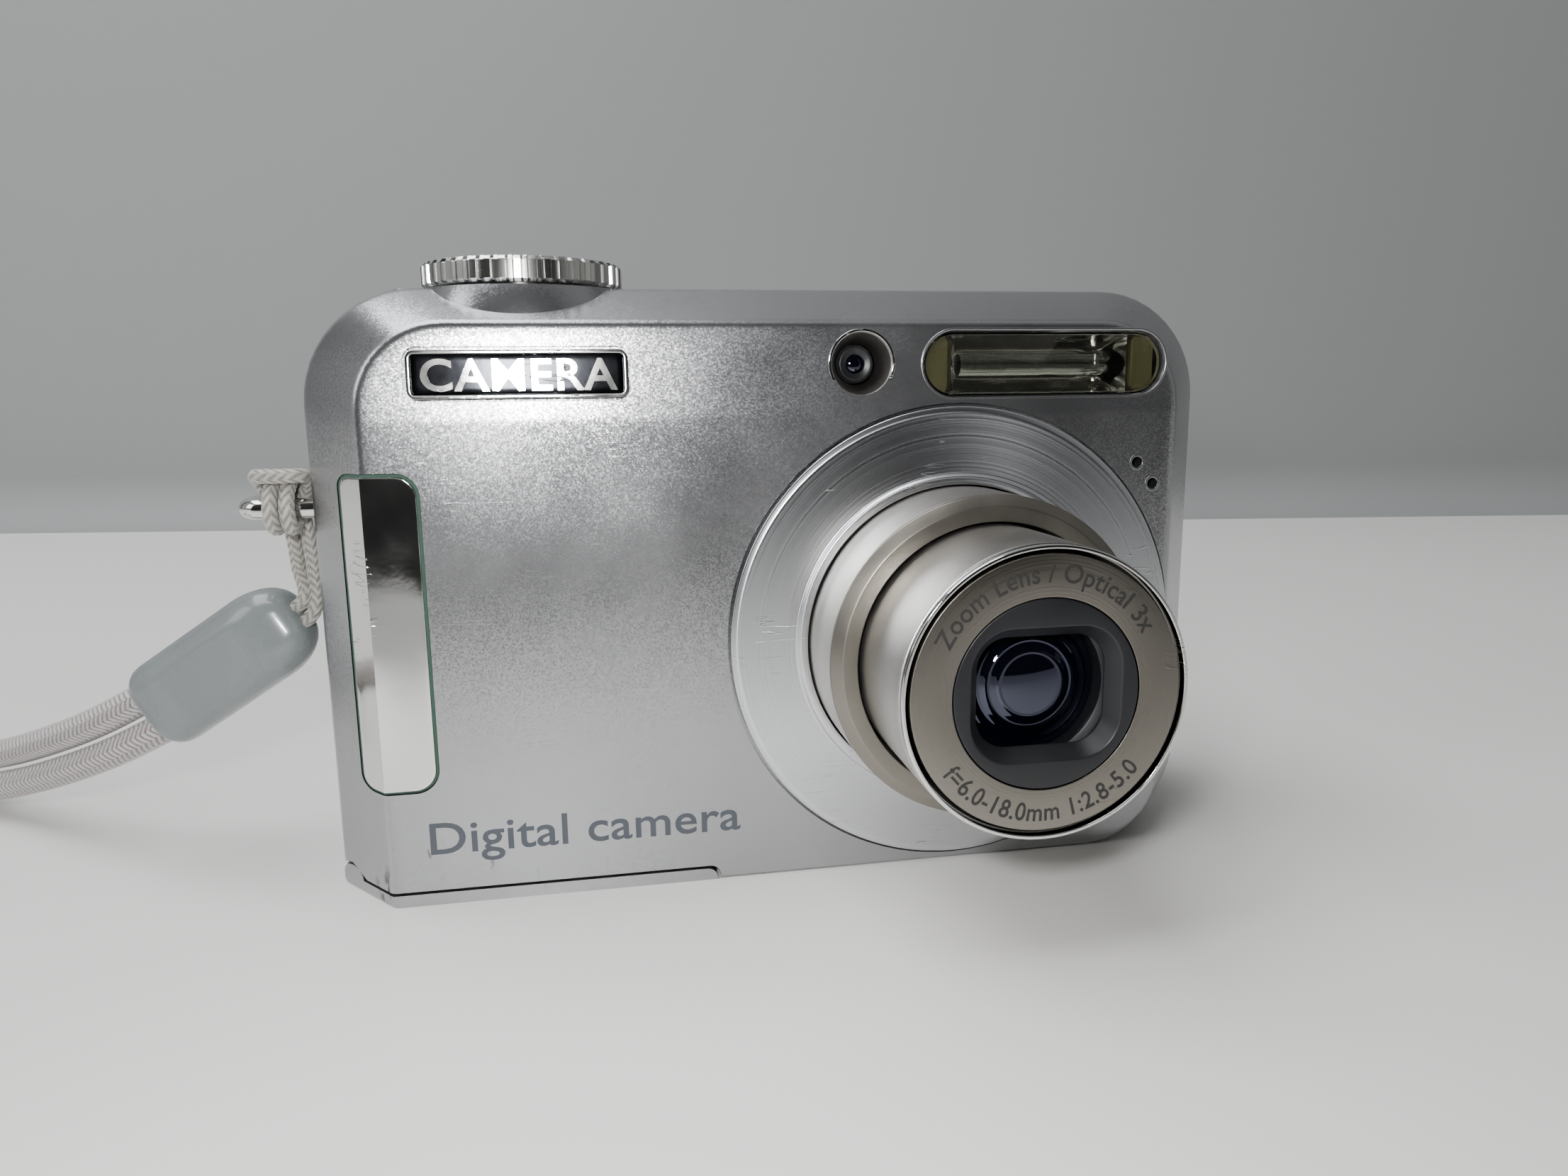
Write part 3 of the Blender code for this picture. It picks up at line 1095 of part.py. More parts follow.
def thick_route():
    """Both strands of the loop: out along one side of the centre line and back along the other.

    They leave the bead one above the other, then lie down side by side and part at the loop's end.
    """
    centre = [bead_point(BEAD_LENGTH * 0.62, 0.0), bead_point(BEAD_LENGTH * 1.05, 0.0)]
    centre += [Vector((x, depth(y), z)) for x, y, z in THICK_CENTRE]
    line = smooth_route(centre, 2)
    upward = Vector((-0.10, 0.25, 0.96)).normalized()
    last = len(line) - 1
    sides = []
    for index, point in enumerate(line):
        share = index / last
        ahead = line[min(index + 1, last)] - line[max(index - 1, 0)]
        level = ahead.cross(Vector((0.0, 0.0, 1.0))).normalized()
        laid = min(1.0, max(0.0, (share - STACKED_SHARE) / (LEVEL_SHARE - STACKED_SHARE)))
        lean = BEAD_ACROSS.lerp(upward, min(1.0, share / STACKED_SHARE)).lerp(level, laid).normalized()
        half = STRAND_HALF + (BEND_HALF - STRAND_HALF) * max(0.0, 3.0 * share - 2.0)
        sides.append((point + lean * half, point - lean * half))
    ahead = ahead.normalized()
    bend = [line[-1] + ahead * BEND_HALF * math.sin(t) + level * BEND_HALF * math.cos(t)
            for t in (math.radians(30 * step) for step in range(1, 6))]
    return [side[0] for side in sides] + bend + [side[1] for side in reversed(sides)]


def strap(covers):
    strap_lug(covers)
    strap_bead()
    tube("strap_cord", smooth_route(thin_route(), 1), THIN_CORD_RADIUS, "cord_grey")
    tube("strap_loop", thick_route(), THICK_CORD_RADIUS, "cord_grey")


# ---------------------------------------------------------------- assembly

def main():
    for made in list(bpy.data.objects):
        bpy.data.objects.remove(made, do_unlink=True)
    front = front_cover()
    rear = rear_cover()
    covers = (front, rear)
    top_cover(covers)
    battery_door(covers)
    battery_room()
    grip_trim(front)
    badge_plate(front)
    flash_unit(front)
    lamp(front)
    microphone_holes(front)
    trim_ring(front)
    lens_barrels()
    lens_drive()
    electronics()
    mode_dial()
    shutter_button()
    power_button()
    screen(rear)
    for name, x, z in KEYS:
        rear_button(name, rear, x, z)
    control_pad(rear)
    zoom_rocker(rear)
    base_pieces(rear)
    jack(rear)
    strap(covers)


if __name__ == "__main__":
    main()
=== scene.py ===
"""Pocket camera with an extending zoom lens and a corded wrist strap: surfaces, finishes and studio.

Every shape is worked out with numpy as rows of points, in metres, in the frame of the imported
model: the lens looks along -Y, +X is the flash side and +Z is up.
"""
import json
import math

import bmesh
import bpy
import numpy as np
from bpy.props import FloatProperty, FloatVectorProperty, IntProperty, PointerProperty
from mathutils import Matrix, Vector


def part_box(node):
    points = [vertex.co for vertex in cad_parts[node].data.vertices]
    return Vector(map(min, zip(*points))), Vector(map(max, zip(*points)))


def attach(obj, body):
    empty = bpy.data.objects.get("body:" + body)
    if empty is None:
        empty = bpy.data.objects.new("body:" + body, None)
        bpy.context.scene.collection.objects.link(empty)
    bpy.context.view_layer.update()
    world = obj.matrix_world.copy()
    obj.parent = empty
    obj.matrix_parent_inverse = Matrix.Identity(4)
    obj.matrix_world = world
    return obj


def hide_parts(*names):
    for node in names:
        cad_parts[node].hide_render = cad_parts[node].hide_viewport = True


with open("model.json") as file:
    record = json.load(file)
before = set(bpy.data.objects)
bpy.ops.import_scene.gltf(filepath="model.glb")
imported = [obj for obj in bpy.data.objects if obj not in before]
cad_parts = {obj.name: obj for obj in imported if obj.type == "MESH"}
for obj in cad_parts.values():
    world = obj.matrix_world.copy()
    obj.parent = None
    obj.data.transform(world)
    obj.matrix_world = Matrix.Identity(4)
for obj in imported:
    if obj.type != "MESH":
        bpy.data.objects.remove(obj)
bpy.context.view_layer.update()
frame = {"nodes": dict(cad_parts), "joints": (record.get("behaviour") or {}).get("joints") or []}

bl_info = {
    "name": "Pocket camera surfaces",
    "version": (1, 0, 0),
    "blender": (4, 5, 0),
    "location": "View3D > Sidebar > Camera",
    "description": "Builds the shells, lens, controls, strap and finishes of a pocket zoom camera",
    "category": "Object",
}

JOINTS = {joint["name"]: joint for joint in frame["joints"]}

# The body's box and the axes of what turns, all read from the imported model
LEFT, FRONT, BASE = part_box("front_cover")[0]
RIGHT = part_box("front_cover")[1].x
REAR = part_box("rear_cover")[1].y
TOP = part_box("rear_cover")[1].z
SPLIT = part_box("front_cover")[1].y
LENS = (JOINTS["cam_turn"]["pos_m"][0], JOINTS["cam_turn"]["pos_m"][2])
DIAL = (JOINTS["mode_turn"]["pos_m"][0], JOINTS["mode_turn"]["pos_m"][1])
PAD = (JOINTS["pad_up_down"]["pos_m"][0], JOINTS["pad_up_down"]["pos_m"][2])

# Form of the shells, which the pieces let into them also follow
GAP = 0.0003
WALL = 0.0018
CHAMFER_SIDE = 0.0059
CHAMFER_TOP = 0.0036
CHAMFER_DEPTH = 0.0071
CORNER_FRONT = 0.0080
CORNER_TOP = 0.0110
CORNER_BASE = 0.0080
CORNER_SHARP = 0.0004
REAR_ROUND = 0.0030
FACET_HEIGHT = 0.0462
FACET_TILT = math.radians(3.0)


def linear(code, alpha=1.0):
    """sRGB hex to linear light: ((c + 0.055) / 1.055) ^ 2.4, or c / 12.92 for the darkest values."""
    channels = [int(code[i:i + 2], 16) / 255 for i in (1, 3, 5)]
    return tuple(((c + 0.055) / 1.055) ** 2.4 if c > 0.04045 else c / 12.92 for c in channels) + (alpha,)


def colour(name, code, words):
    return FloatVectorProperty(name=name, description=words, subtype="COLOR", size=4, min=0.0, max=1.0,
                               default=linear(code))


def length(name, value, words):
    return FloatProperty(name=name, description=words, unit="LENGTH", min=0.0, default=value, precision=5)


class CameraSizes(bpy.types.PropertyGroup):
    """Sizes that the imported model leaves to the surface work."""
    front_round: length("Front edge round", 0.0006, "Reach of the round between front face and chamfer")
    side_round: length("Side edge round", 0.0009, "Reach of the round between chamfer and side")
    crease_round: length("Facet crease", 0.0002, "Half width of the crease under the upper facet")
    edge_round: length("Small edge round", 0.00016, "Reach of the round on turned and moulded edges")
    letter_height: length("Ring letter height", 0.00155, "Height of a capital on the name ring")
    flutes: IntProperty(name="Dial flutes", description="Grooves round the dial", min=12, default=44)
    groove_pitch: length("Spun groove pitch", 0.00022, "Distance between the turning marks of the lens ring")
    flake: length("Paint flake", 0.00013, "Size of one aluminium flake in the paint")


class CameraColours(bpy.types.PropertyGroup):
    """Colours of the finishes."""
    paint: colour("Silver paint", "#A9AAAC", "Aluminium flake paint on the shells")
    spun: colour("Spun aluminium", "#D3D5D8", "Bare metal of the wide lens ring")
    satin: colour("Satin barrel", "#C3C0BB", "Bead blasted and anodised barrel sides")
    bronze: colour("Barrel face", "#87837B", "Darker anodised faces at the front of the barrels")
    chrome: colour("Chrome", "#E0E0DD", "Plated trim, dial and lug")
    black: colour("Black plastic", "#17181B", "Lens barrier and inner housings")
    ink: colour("Printed ink", "#4B5058", "Screen printed words")
    bead: colour("Strap bead", "#7A8081", "Moulded bead on the strap")
    # The two cord colours are painted light: the light one is the painted highlight on the yarn crowns, the
    # dark one the painted shade in the dips between yarns
    cord_painted_highlight: colour("Cord, light threads", "#D2CDC9", "Bright threads of the wrist cord")
    cord_painted_shade: colour("Cord, dark threads", "#5A5154", "Shaded threads of the wrist cord")
    floor: colour("Table", "#EFEEEA", "Table top")
    wall: colour("Wall", "#9FA2A1", "Wall behind the table")


# ---------------------------------------------------------------- outlines and surfaces

def rounded_rectangle(centre, size, radius, steps=10):
    """Outline, counter-clockwise: each corner centre stands one radius inside and carries a quarter."""
    quarter = np.linspace(0.0, np.pi / 2, steps + 1)
    angle = np.arange(4)[:, None] * np.pi / 2 + quarter
    signs = np.array(((1, 1), (-1, 1), (-1, -1), (1, -1)))
    radii = np.broadcast_to(np.asarray(radius, float), (4,))
    middle = np.asarray(centre) + signs * (np.asarray(size) / 2 - radii[:, None])
    quarter_points = radii[:, None, None] * np.stack((np.cos(angle), np.sin(angle)), -1)
    return (middle[:, None, :] + quarter_points).reshape(-1, 2)


def circle(centre, radius, count):
    """Points at equal angles on a circle."""
    angle = np.arange(count) * 2 * np.pi / count
    return np.asarray(centre) + radius * np.stack((np.cos(angle), np.sin(angle)), -1)


def evenly(outline, count=160):
    """Closed outline resampled at equal steps of arc length."""
    ring = np.concatenate((outline, outline[:1]))
    run = np.concatenate(([0.0], np.cumsum(np.linalg.norm(np.diff(ring, axis=0), axis=1))))
    steps = np.arange(count) / count * run[-1]
    return np.stack([np.interp(steps, run, ring[:, k]) for k in range(2)], -1)


def place(axis, flat, along):
    """Points in space from points in the cross-section and their place along the axis."""
    flat = np.asarray(flat, float)
    along = np.broadcast_to(np.asarray(along, float), flat.shape[:-1])
    columns = {"X": (along, flat[..., 0], flat[..., 1]), "Y": (flat[..., 0], along, flat[..., 1]),
               "Z": (flat[..., 0], flat[..., 1], along)}
    return np.stack(columns[axis], -1)


def soften(chain, reach, closed=True, steps=4):
    """Rounds the corners of a chain of points or of rows of points.

    A corner p becomes the parabola (1 - t)^2 a + 2 t (1 - t) p + t^2 b, whose ends a and b lie
    on the two sides at the reach, or just short of halfway where a side is shorter.
    """
    p = np.asarray(chain, float)
    shape = (len(p),) + (1,) * (p.ndim - 1)
    reach = np.broadcast_to(np.asarray(reach, float).reshape(-1, *shape[1:]), shape)
    ends = []
    for shift in (1, -1):
        side = np.roll(p, shift, 0) - p
        size = np.maximum(np.linalg.norm(side, axis=-1, keepdims=True), 1e-9)
        ends.append(p + side / size * np.minimum(reach, 0.48 * size))
    t = np.linspace(0.0, 1.0, steps + 1).reshape((-1,) + (1,) * p.ndim)
    curve = (1 - t) ** 2 * ends[0] + 2 * t * (1 - t) * p + t ** 2 * ends[1]
    curve = np.moveaxis(curve, 0, 1)
    if closed:
        return curve.reshape((-1,) + p.shape[1:])
    middle = curve[1:-1].reshape((-1,) + p.shape[1:])
    return np.concatenate((p[:1], middle, p[-1:]))


def grid_faces(rows, columns, closed_rows=False, closed_columns=False, start=0):
    """Corner numbers of the quads between neighbouring rows and columns."""
    index = start + np.arange(rows * columns).reshape(rows, columns)
    if closed_columns:
        index = np.hstack((index, index[:, :1]))
    if closed_rows:
        index = np.vstack((index, index[:1]))
    quads = np.stack((index[:-1, :-1], index[:-1, 1:], index[1:, 1:], index[1:, :-1]), -1)
    return quads.reshape(-1, 4).tolist()


def loft(rows, closed_rows=False, capped=True):
    """Shape through rings of points; an open chain of rings is closed by a flat cap at each end."""
    rows = np.asarray(rows, float)
    count, size = rows.shape[:2]
    faces = grid_faces(count, size, closed_rows, True)
    if capped and not closed_rows:
        faces += [list(range(size)), list(range((count - 1) * size, count * size))]
    return rows.reshape(-1, 3), faces


def turn(profile, axis, centre, count=128, closed=True):
    """Surface of revolution: every (radius, along) pair of the profile becomes a circle."""
    profile = np.asarray(profile, float)
    unit = circle((0.0, 0.0), 1.0, count)
    rows = place(axis, np.asarray(centre) + profile[:, None, :1] * unit, profile[:, 1:2])
    return loft(rows, closed_rows=closed, capped=False)


def turned_edge(profile, reach=None, closed=True, steps=4):
    """Profile with its corners rounded by the small edge round."""
    edge = bpy.context.scene.camera_sizes.edge_round if reach is None else reach
    return soften(profile, edge, closed, steps)


def stack(section, levels, axis, reach=None):
    """Solid of levels (along, inset): the section is a function of the inset, the edges are rounded."""
    edge = bpy.context.scene.camera_sizes.edge_round if reach is None else reach
    levels = soften(levels, edge, closed=False)
    return loft([place(axis, section(inset), along) for along, inset in levels])


def boundary(grid):
    """Edge of a grid of points, walked once round."""
    return np.concatenate((grid[0, :-1], grid[:-1, -1], grid[-1, :0:-1], grid[:0:-1, 0]))


def shell(cap, rings, reach, back=None, steps=5):
    """Solid from a grid through rings with rounded turns to a second grid or a flat cap."""
    chain = np.stack([boundary(cap)] + list(rings))
    rows = soften(chain, np.concatenate(([0.0], reach, [0.0])), closed=False, steps=steps)
    points, faces = loft(rows, capped=False)
    parts = [(points, faces)]
    for grid in (cap, back):
        if grid is not None:
            parts.append((grid.reshape(-1, 3), grid_faces(*grid.shape[:2])))
    if back is None:
        faces.append(list(range(len(points) - rows.shape[1], len(points))))
    return gather(*parts)


def gather(*shapes):
    """One shape from several."""
    points, faces, start = [], [], 0
    for some_points, some_faces in shapes:
        points.append(np.asarray(some_points, float))
        faces += [[start + corner for corner in face] for face in some_faces]
        start += len(some_points)
    return np.concatenate(points), faces


def frames_along(path):
    """Unit tangents, and two unit normals carried along the path without twist."""
    tangent = np.gradient(path, axis=0)
    tangent /= np.linalg.norm(tangent, axis=1, keepdims=True)
    normal = np.cross(tangent[0], (0.3, 0.2, 0.93))
    normals = []
    for direction in tangent:
        normal = normal - direction * np.dot(normal, direction)
        normal = normal / np.linalg.norm(normal)
        normals.append(normal)
    normals = np.array(normals)
    return tangent, normals, np.cross(tangent, normals)


def sweep(path, radius, sides=24):
    """Tube: a circle of the given radius, which may differ at every point, carried along a path."""
    path = np.asarray(path, float)
    _, across, up = frames_along(path)
    angle = np.arange(sides) * 2 * np.pi / sides
    radius = np.broadcast_to(np.asarray(radius, float), (len(path), sides))
    return (path[:, None, :] + radius[..., None] * (np.cos(angle)[None, :, None] * across[:, None, :]
                                                    + np.sin(angle)[None, :, None] * up[:, None, :]))


def spline(points, spacing):
    """Catmull-Rom curve through the points, resampled at equal steps of arc length."""
    p = np.asarray(points, float)
    padded = np.concatenate((2 * p[:1] - p[1:2], p, 2 * p[-1:] - p[-2:-1]))
    t = np.linspace(0.0, 1.0, 40, endpoint=False)[None, :, None]
    a, b, c, d = (padded[i:len(padded) - 3 + i, None, :] for i in range(4))
    fine = 0.5 * (2 * b + (c - a) * t + (2 * a - 5 * b + 4 * c - d) * t ** 2 + (3 * b - a - 3 * c + d)
                  * t ** 3)
    fine = np.concatenate((fine.reshape(-1, 3), p[-1:]))
    run = np.concatenate(([0.0], np.cumsum(np.linalg.norm(np.diff(fine, axis=0), axis=1))))
    even = np.linspace(0.0, run[-1], max(3, int(run[-1] / spacing)))
    return np.stack([np.interp(even, run, fine[:, k]) for k in range(3)], -1)


# ---------------------------------------------------------------- pieces

def piece(name, shape, material, sharp=34.0, uv=None, values=None):
    """Mesh object from a shape: doubles merged, faces outward, smooth up to the given angle."""
    points, faces = shape
    mesh = bpy.data.meshes.new(name)
    mesh.from_pydata(points.tolist(), [], faces)
    if values is not None:
        shade = mesh.attributes.new("thread", "FLOAT", "POINT")
        shade.data.foreach_set("value", np.asarray(values, np.float32).ravel())
    if uv is not None:
        corners = np.zeros(len(mesh.loops), np.int32)
        mesh.loops.foreach_get("vertex_index", corners)
        mesh.uv_layers.new(name="UVMap").data.foreach_set("uv", np.asarray(uv, np.float32)[corners].ravel())
    bm = bmesh.new()
    bm.from_mesh(mesh)
    bmesh.ops.remove_doubles(bm, verts=bm.verts, dist=1e-7)
    bmesh.ops.dissolve_degenerate(bm, edges=bm.edges, dist=1e-8)
    bmesh.ops.recalc_face_normals(bm, faces=bm.faces)
    bm.to_mesh(mesh)
    bm.free()
    made = bpy.data.objects.new(name, mesh)
    bpy.context.scene.collection.objects.link(made)
    made.data.materials.append(material)
    return shade_smooth(made, sharp)


def shade_smooth(made, sharp=34.0):
    made.data.shade_smooth()
    made.data.set_sharp_from_angle(angle=math.radians(sharp))
    return made


def settle(made, body, slot, *nodes):
    """The piece rides on a body and stands for the CAD nodes; the slot is not used."""
    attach(made, body)
    if nodes:
        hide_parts(*nodes)
    return made


def carve(made, cutters=(), additions=(), sharp=34.0):
    """Adds and cuts away shapes with exact booleans, then keeps the result only."""
    tools = []
    for operation, shapes in (("UNION", additions), ("DIFFERENCE", cutters)):
        for shape in shapes:
            tool = piece("tool", shape, made.data.materials[0])
            modifier = made.modifiers.new("tool", "BOOLEAN")
            modifier.operation = operation
            modifier.solver = "EXACT"
            modifier.object = tool
            tools.append(tool)
    depsgraph = bpy.context.evaluated_depsgraph_get()
    made.data = bpy.data.meshes.new_from_object(made.evaluated_get(depsgraph))
    made.modifiers.clear()
    for tool in tools:
        bpy.data.objects.remove(tool)
    return shade_smooth(made, sharp)


def words(text, size, extrude, weight=0.0, spacing=1.0):
    """Mesh points and faces of a line of text, centred on its width, standing on its base line."""
    curve = bpy.data.curves.new("words", "FONT")
    curve.body = text
    curve.size = size
    curve.align_x = "CENTER"
    curve.extrude = extrude
    curve.offset = weight
    curve.space_character = spacing
    curve.resolution_u = 5
    holder = bpy.data.objects.new("words", curve)
    bpy.context.scene.collection.objects.link(holder)
    mesh = bpy.data.meshes.new_from_object(holder.evaluated_get(bpy.context.evaluated_depsgraph_get()))
    points = np.zeros(len(mesh.vertices) * 3)
    mesh.vertices.foreach_get("co", points)
    faces = [list(polygon.vertices) for polygon in mesh.polygons]
    bpy.data.objects.remove(holder)
    return points.reshape(-1, 3), faces


def paint_nodes(material, *nodes):
    """CAD nodes whose shape stays get the finish in their own material slots."""
    for name in nodes:
        mesh = frame["nodes"][name].data
        mesh.materials.clear()
        mesh.materials.append(material)


# ---------------------------------------------------------------- finishes

def feed(tree, node, sockets):
    """Sets sockets, by name or number, to constants or to the outputs of other nodes."""
    for name, value in sockets.items():
        if isinstance(value, bpy.types.NodeSocket):
            tree.links.new(value, node.inputs[name])
        else:
            node.inputs[name].default_value = value


def add(tree, kind, sockets, out=0, **settings):
    """One shader node with its properties set and its sockets fed; the result is one of its outputs."""
    node = tree.nodes.new("ShaderNode" + kind)
    for name, value in settings.items():
        setattr(node, name, value)
    feed(tree, node, sockets if isinstance(sockets, dict) else dict(enumerate(sockets)))
    return node.outputs[out]


def new_finish(name):
    """Material with its tree, its shader node and Object coordinates."""
    made = bpy.data.materials.new(name)
    made.use_nodes = True
    tree = made.node_tree
    return made, tree, tree.nodes["Principled BSDF"], add(tree, "TexCoord", (), "Object")


def hairlines(tree, coords, width, run, turn_by):
    """Sparse fine scratches: drawn-out noise cut to a thin line, kept only where a broad noise is high."""
    drawn = add(tree, "Mapping", {"Vector": coords, "Rotation": (0.0, turn_by, 0.0),
                                  "Scale": (1.0 / run, 1.0 / run, 1.0 / width)})
    lines = add(tree, "TexNoise", {"Vector": drawn, "Scale": 1.0, "Detail": 1.0})
    middle = add(tree, "Math", (lines, 0.5), operation="SUBTRACT")
    middle = add(tree, "Math", (middle,), operation="ABSOLUTE")
    thin = add(tree, "MapRange", (middle, 0.0, 0.012, 1.0, 0.0))
    broad = add(tree, "TexNoise", {"Vector": coords, "Scale": 1.0 / 0.006})
    patches = add(tree, "MapRange", (broad, 0.58, 0.68))
    return add(tree, "Math", (thin, patches), operation="MULTIPLY")


def near_point(tree, coords, point, reach):
    """One at a point, falling to nought at the reach."""
    away = add(tree, "VectorMath", (coords, point), "Value", operation="DISTANCE")
    return add(tree, "MapRange", (away, reach * 0.25, reach, 1.0, 0.0))


def from_axis(tree, coords, centre):
    """Distance from the line along Y through the centre."""
    flat = add(tree, "Mapping", {"Vector": coords, "Location": (-centre[0], 0.0, -centre[1]),
                                 "Scale": (1.0, 0.0, 1.0)})
    return add(tree, "VectorMath", (flat,), "Value", operation="LENGTH")


def flake_paint(name, base, roughness, scuffs):
    """Aluminium flake paint: each flake is tilted a little, so single grains sparkle in a soft sheen."""
    made, tree, shader, coords = new_finish(name)
    flake = bpy.context.scene.camera_sizes.flake
    flakes = add(tree, "TexVoronoi", {"Vector": coords, "Scale": 1.0 / flake}, "Color")
    lean = add(tree, "VectorMath", (flakes, (0.5, 0.5, 0.5)), operation="SUBTRACT")
    lean = add(tree, "VectorMath", {0: lean, "Scale": 0.08}, operation="SCALE")
    facing = add(tree, "NewGeometry", (), "Normal")
    tilted = add(tree, "VectorMath", (facing, lean), operation="ADD")
    tilted = add(tree, "VectorMath", (tilted,), operation="NORMALIZE")
    scratches = hairlines(tree, coords, 0.0012, 0.012, 0.5)
    uneven = add(tree, "TexNoise", {"Vector": coords, "Scale": 1.0 / 0.010, "Detail": 3.0})
    share = add(tree, "MapRange", (uneven, 0.35, 0.65, 0.0, 0.10))
    surface = add(tree, "Mix", {0: share, 6: tuple(base), 7: linear("#A5A5A7")}, 2, data_type="RGBA")
    for point, reach, grain in scuffs:
        drawn = add(tree, "Mapping",
                    {"Vector": coords, "Rotation": (0.0, 0.5, 0.0), "Scale": (1.0, 1.0, 0.4)})
        streaks = add(tree, "TexNoise", {"Vector": drawn, "Scale": 1.0 / 0.0012, "Detail": 4.0})
        streaks = add(tree, "MapRange", (streaks, grain, grain + 0.06))
        mark = add(tree, "Math", (near_point(tree, coords, point, reach), streaks), operation="MULTIPLY")
        surface = add(tree, "Mix", {0: mark, 6: surface, 7: linear("#2B2C30")}, 2, data_type="RGBA")
    feed(tree, shader, {
        "Base Color": surface, "Metallic": 0.94,
        "Normal": add(tree, "Bump", {"Height": scratches, "Distance": 0.000008, "Strength": 0.4,
                                     "Normal": tilted}),
        "Roughness": add(tree, "MapRange", (uneven, 0.3, 0.7, roughness - 0.03, roughness + 0.04))})
    return made


def spun_metal(name, base, roughness, pitch, swirl):
    """Turned metal: concentric cutting marks stretch every highlight across them into a bright sector."""
    made, tree, shader, coords = new_finish(name)
    ring_place = add(tree, "CombineXYZ", {"X": from_axis(tree, coords, LENS)})
    marks = add(tree, "TexNoise", {"Vector": ring_place, "Scale": 1.0 / pitch, "Detail": 3.0})
    scratches = hairlines(tree, coords, 0.0010, 0.010, 0.7)
    relief = add(tree, "Bump", {"Height": marks, "Distance": 0.000018, "Strength": 0.45})
    feed(tree, shader, {
        "Base Color": tuple(base), "Metallic": 1.0, "Anisotropic": swirl,
        "Roughness": add(tree, "MapRange", (marks, 0.3, 0.7, roughness - 0.05, roughness + 0.06)),
        "Tangent": add(tree, "Tangent", (), direction_type="UV_MAP", uv_map="UVMap"),
        "Normal": add(tree, "Bump", {"Height": scratches, "Distance": 0.00003, "Strength": 0.6,
                                     "Normal": relief})})
    return made


def blasted_metal(name, base, roughness=0.34):
    """Bead-blasted and anodised aluminium: a fine even tooth and slight handling marks."""
    made, tree, shader, coords = new_finish(name)
    tooth = add(tree, "TexNoise", {"Vector": coords, "Scale": 1.0 / 0.00025})
    stain = add(tree, "TexNoise", {"Vector": coords, "Scale": 1.0 / 0.006, "Detail": 3.0})
    share = add(tree, "MapRange", (stain, 0.45, 0.75, 0.0, 0.25))
    feed(tree, shader, {
        "Base Color": add(tree, "Mix", {0: share, 6: tuple(base), 7: linear("#A09B92")}, 2, data_type="RGBA"),
        "Metallic": 1.0, "Normal": add(tree, "Bump",
                                       {"Height": tooth, "Distance": 0.00002, "Strength": 0.35}),
        "Roughness": add(tree, "MapRange", (stain, 0.3, 0.7, roughness - 0.04, roughness + 0.05))})
    return made


def plated(name, base, roughness=0.06, worn=0.6):
    """Chrome plate: a mirror with wiping scratches and faint haze."""
    made, tree, shader, coords = new_finish(name)
    first = hairlines(tree, coords, 0.0008, 0.006, 0.15)
    second = hairlines(tree, coords, 0.0009, 0.005, 1.2)
    lines = add(tree, "Math", (first, second), operation="MAXIMUM")
    haze = add(tree, "TexNoise", {"Vector": coords, "Scale": 1.0 / 0.004, "Detail": 4.0})
    waves = add(tree, "Bump", {"Height": haze, "Distance": 0.00006, "Strength": 0.25})
    feed(tree, shader, {
        "Base Color": tuple(base), "Metallic": 1.0,
        "Roughness": add(tree, "MapRange", (haze, 0.35, 0.75, roughness, roughness + 0.10 * worn)),
        "Normal": add(tree, "Bump", {"Height": lines, "Distance": 0.00004, "Strength": worn,
                                     "Normal": waves})})
    return made


def moulded(name, base, roughness=0.42, grain=0.00030, relief=0.000012, coat=0.0):
    """Moulded plastic: an even spark-eroded texture under a soft gloss."""
    made, tree, shader, coords = new_finish(name)
    texture = add(tree, "TexNoise", {"Vector": coords, "Scale": 1.0 / grain})
    wear = add(tree, "TexNoise", {"Vector": coords, "Scale": 1.0 / 0.005, "Detail": 3.0})
    lighter = tuple(min(1.0, channel * 1.25 + 0.003) for channel in tuple(base)[:3]) + (1.0,)
    share = add(tree, "MapRange", (wear, 0.5, 0.8, 0.0, 0.5))
    feed(tree, shader, {
        "Base Color": add(tree, "Mix", {0: share, 6: tuple(base), 7: lighter}, 2, data_type="RGBA"),
        "Roughness": add(tree, "MapRange", (wear, 0.3, 0.7, roughness - 0.04, roughness + 0.06)),
        "Normal": add(tree, "Bump", {"Height": texture, "Distance": relief, "Strength": 0.6}),
        "Coat Weight": coat})
    return made


def clear(name, base, rings=None):
    """Polished clear plastic; rings are a Fresnel pattern (centre, pitch) moulded into it."""
    made, tree, shader, coords = new_finish(name)
    if rings:
        centre, pitch = rings
        turns = add(tree, "Math", (from_axis(tree, coords, centre), pitch), operation="DIVIDE")
        height = add(tree, "Math", (turns,), operation="FRACT")
        depth, strength = 0.00012, 0.9
    else:
        height = add(tree, "TexNoise", {"Vector": coords, "Scale": 1.0 / 0.003})
        depth, strength = 0.000004, 0.3
    feed(tree, shader, {
        "Base Color": tuple(base), "Transmission Weight": 1.0, "IOR": 1.49, "Roughness": 0.02,
        "Normal": add(tree, "Bump", {"Height": height, "Distance": depth, "Strength": strength})})
    return made


def coated_glass(name):
    """Multi-coated lens element over a dark barrel: near black, with a violet and green bloom."""
    made, tree, shader, coords = new_finish(name)
    drift = add(tree, "TexNoise", {"Vector": coords, "Scale": 1.0 / 0.006, "Detail": 1.0})
    share = add(tree, "MapRange", (drift, 0.3, 0.7))
    feed(tree, shader, {
        "Base Color": add(tree, "Mix", {0: share, 6: linear("#06060B"), 7: linear("#0A0A0F")}, 2,
                          data_type="RGBA"),
        "Roughness": 0.03, "IOR": 1.6, "Coat Weight": 1.0, "Coat Roughness": 0.02,
        "Coat Tint": linear("#B8C6FF")})
    return made


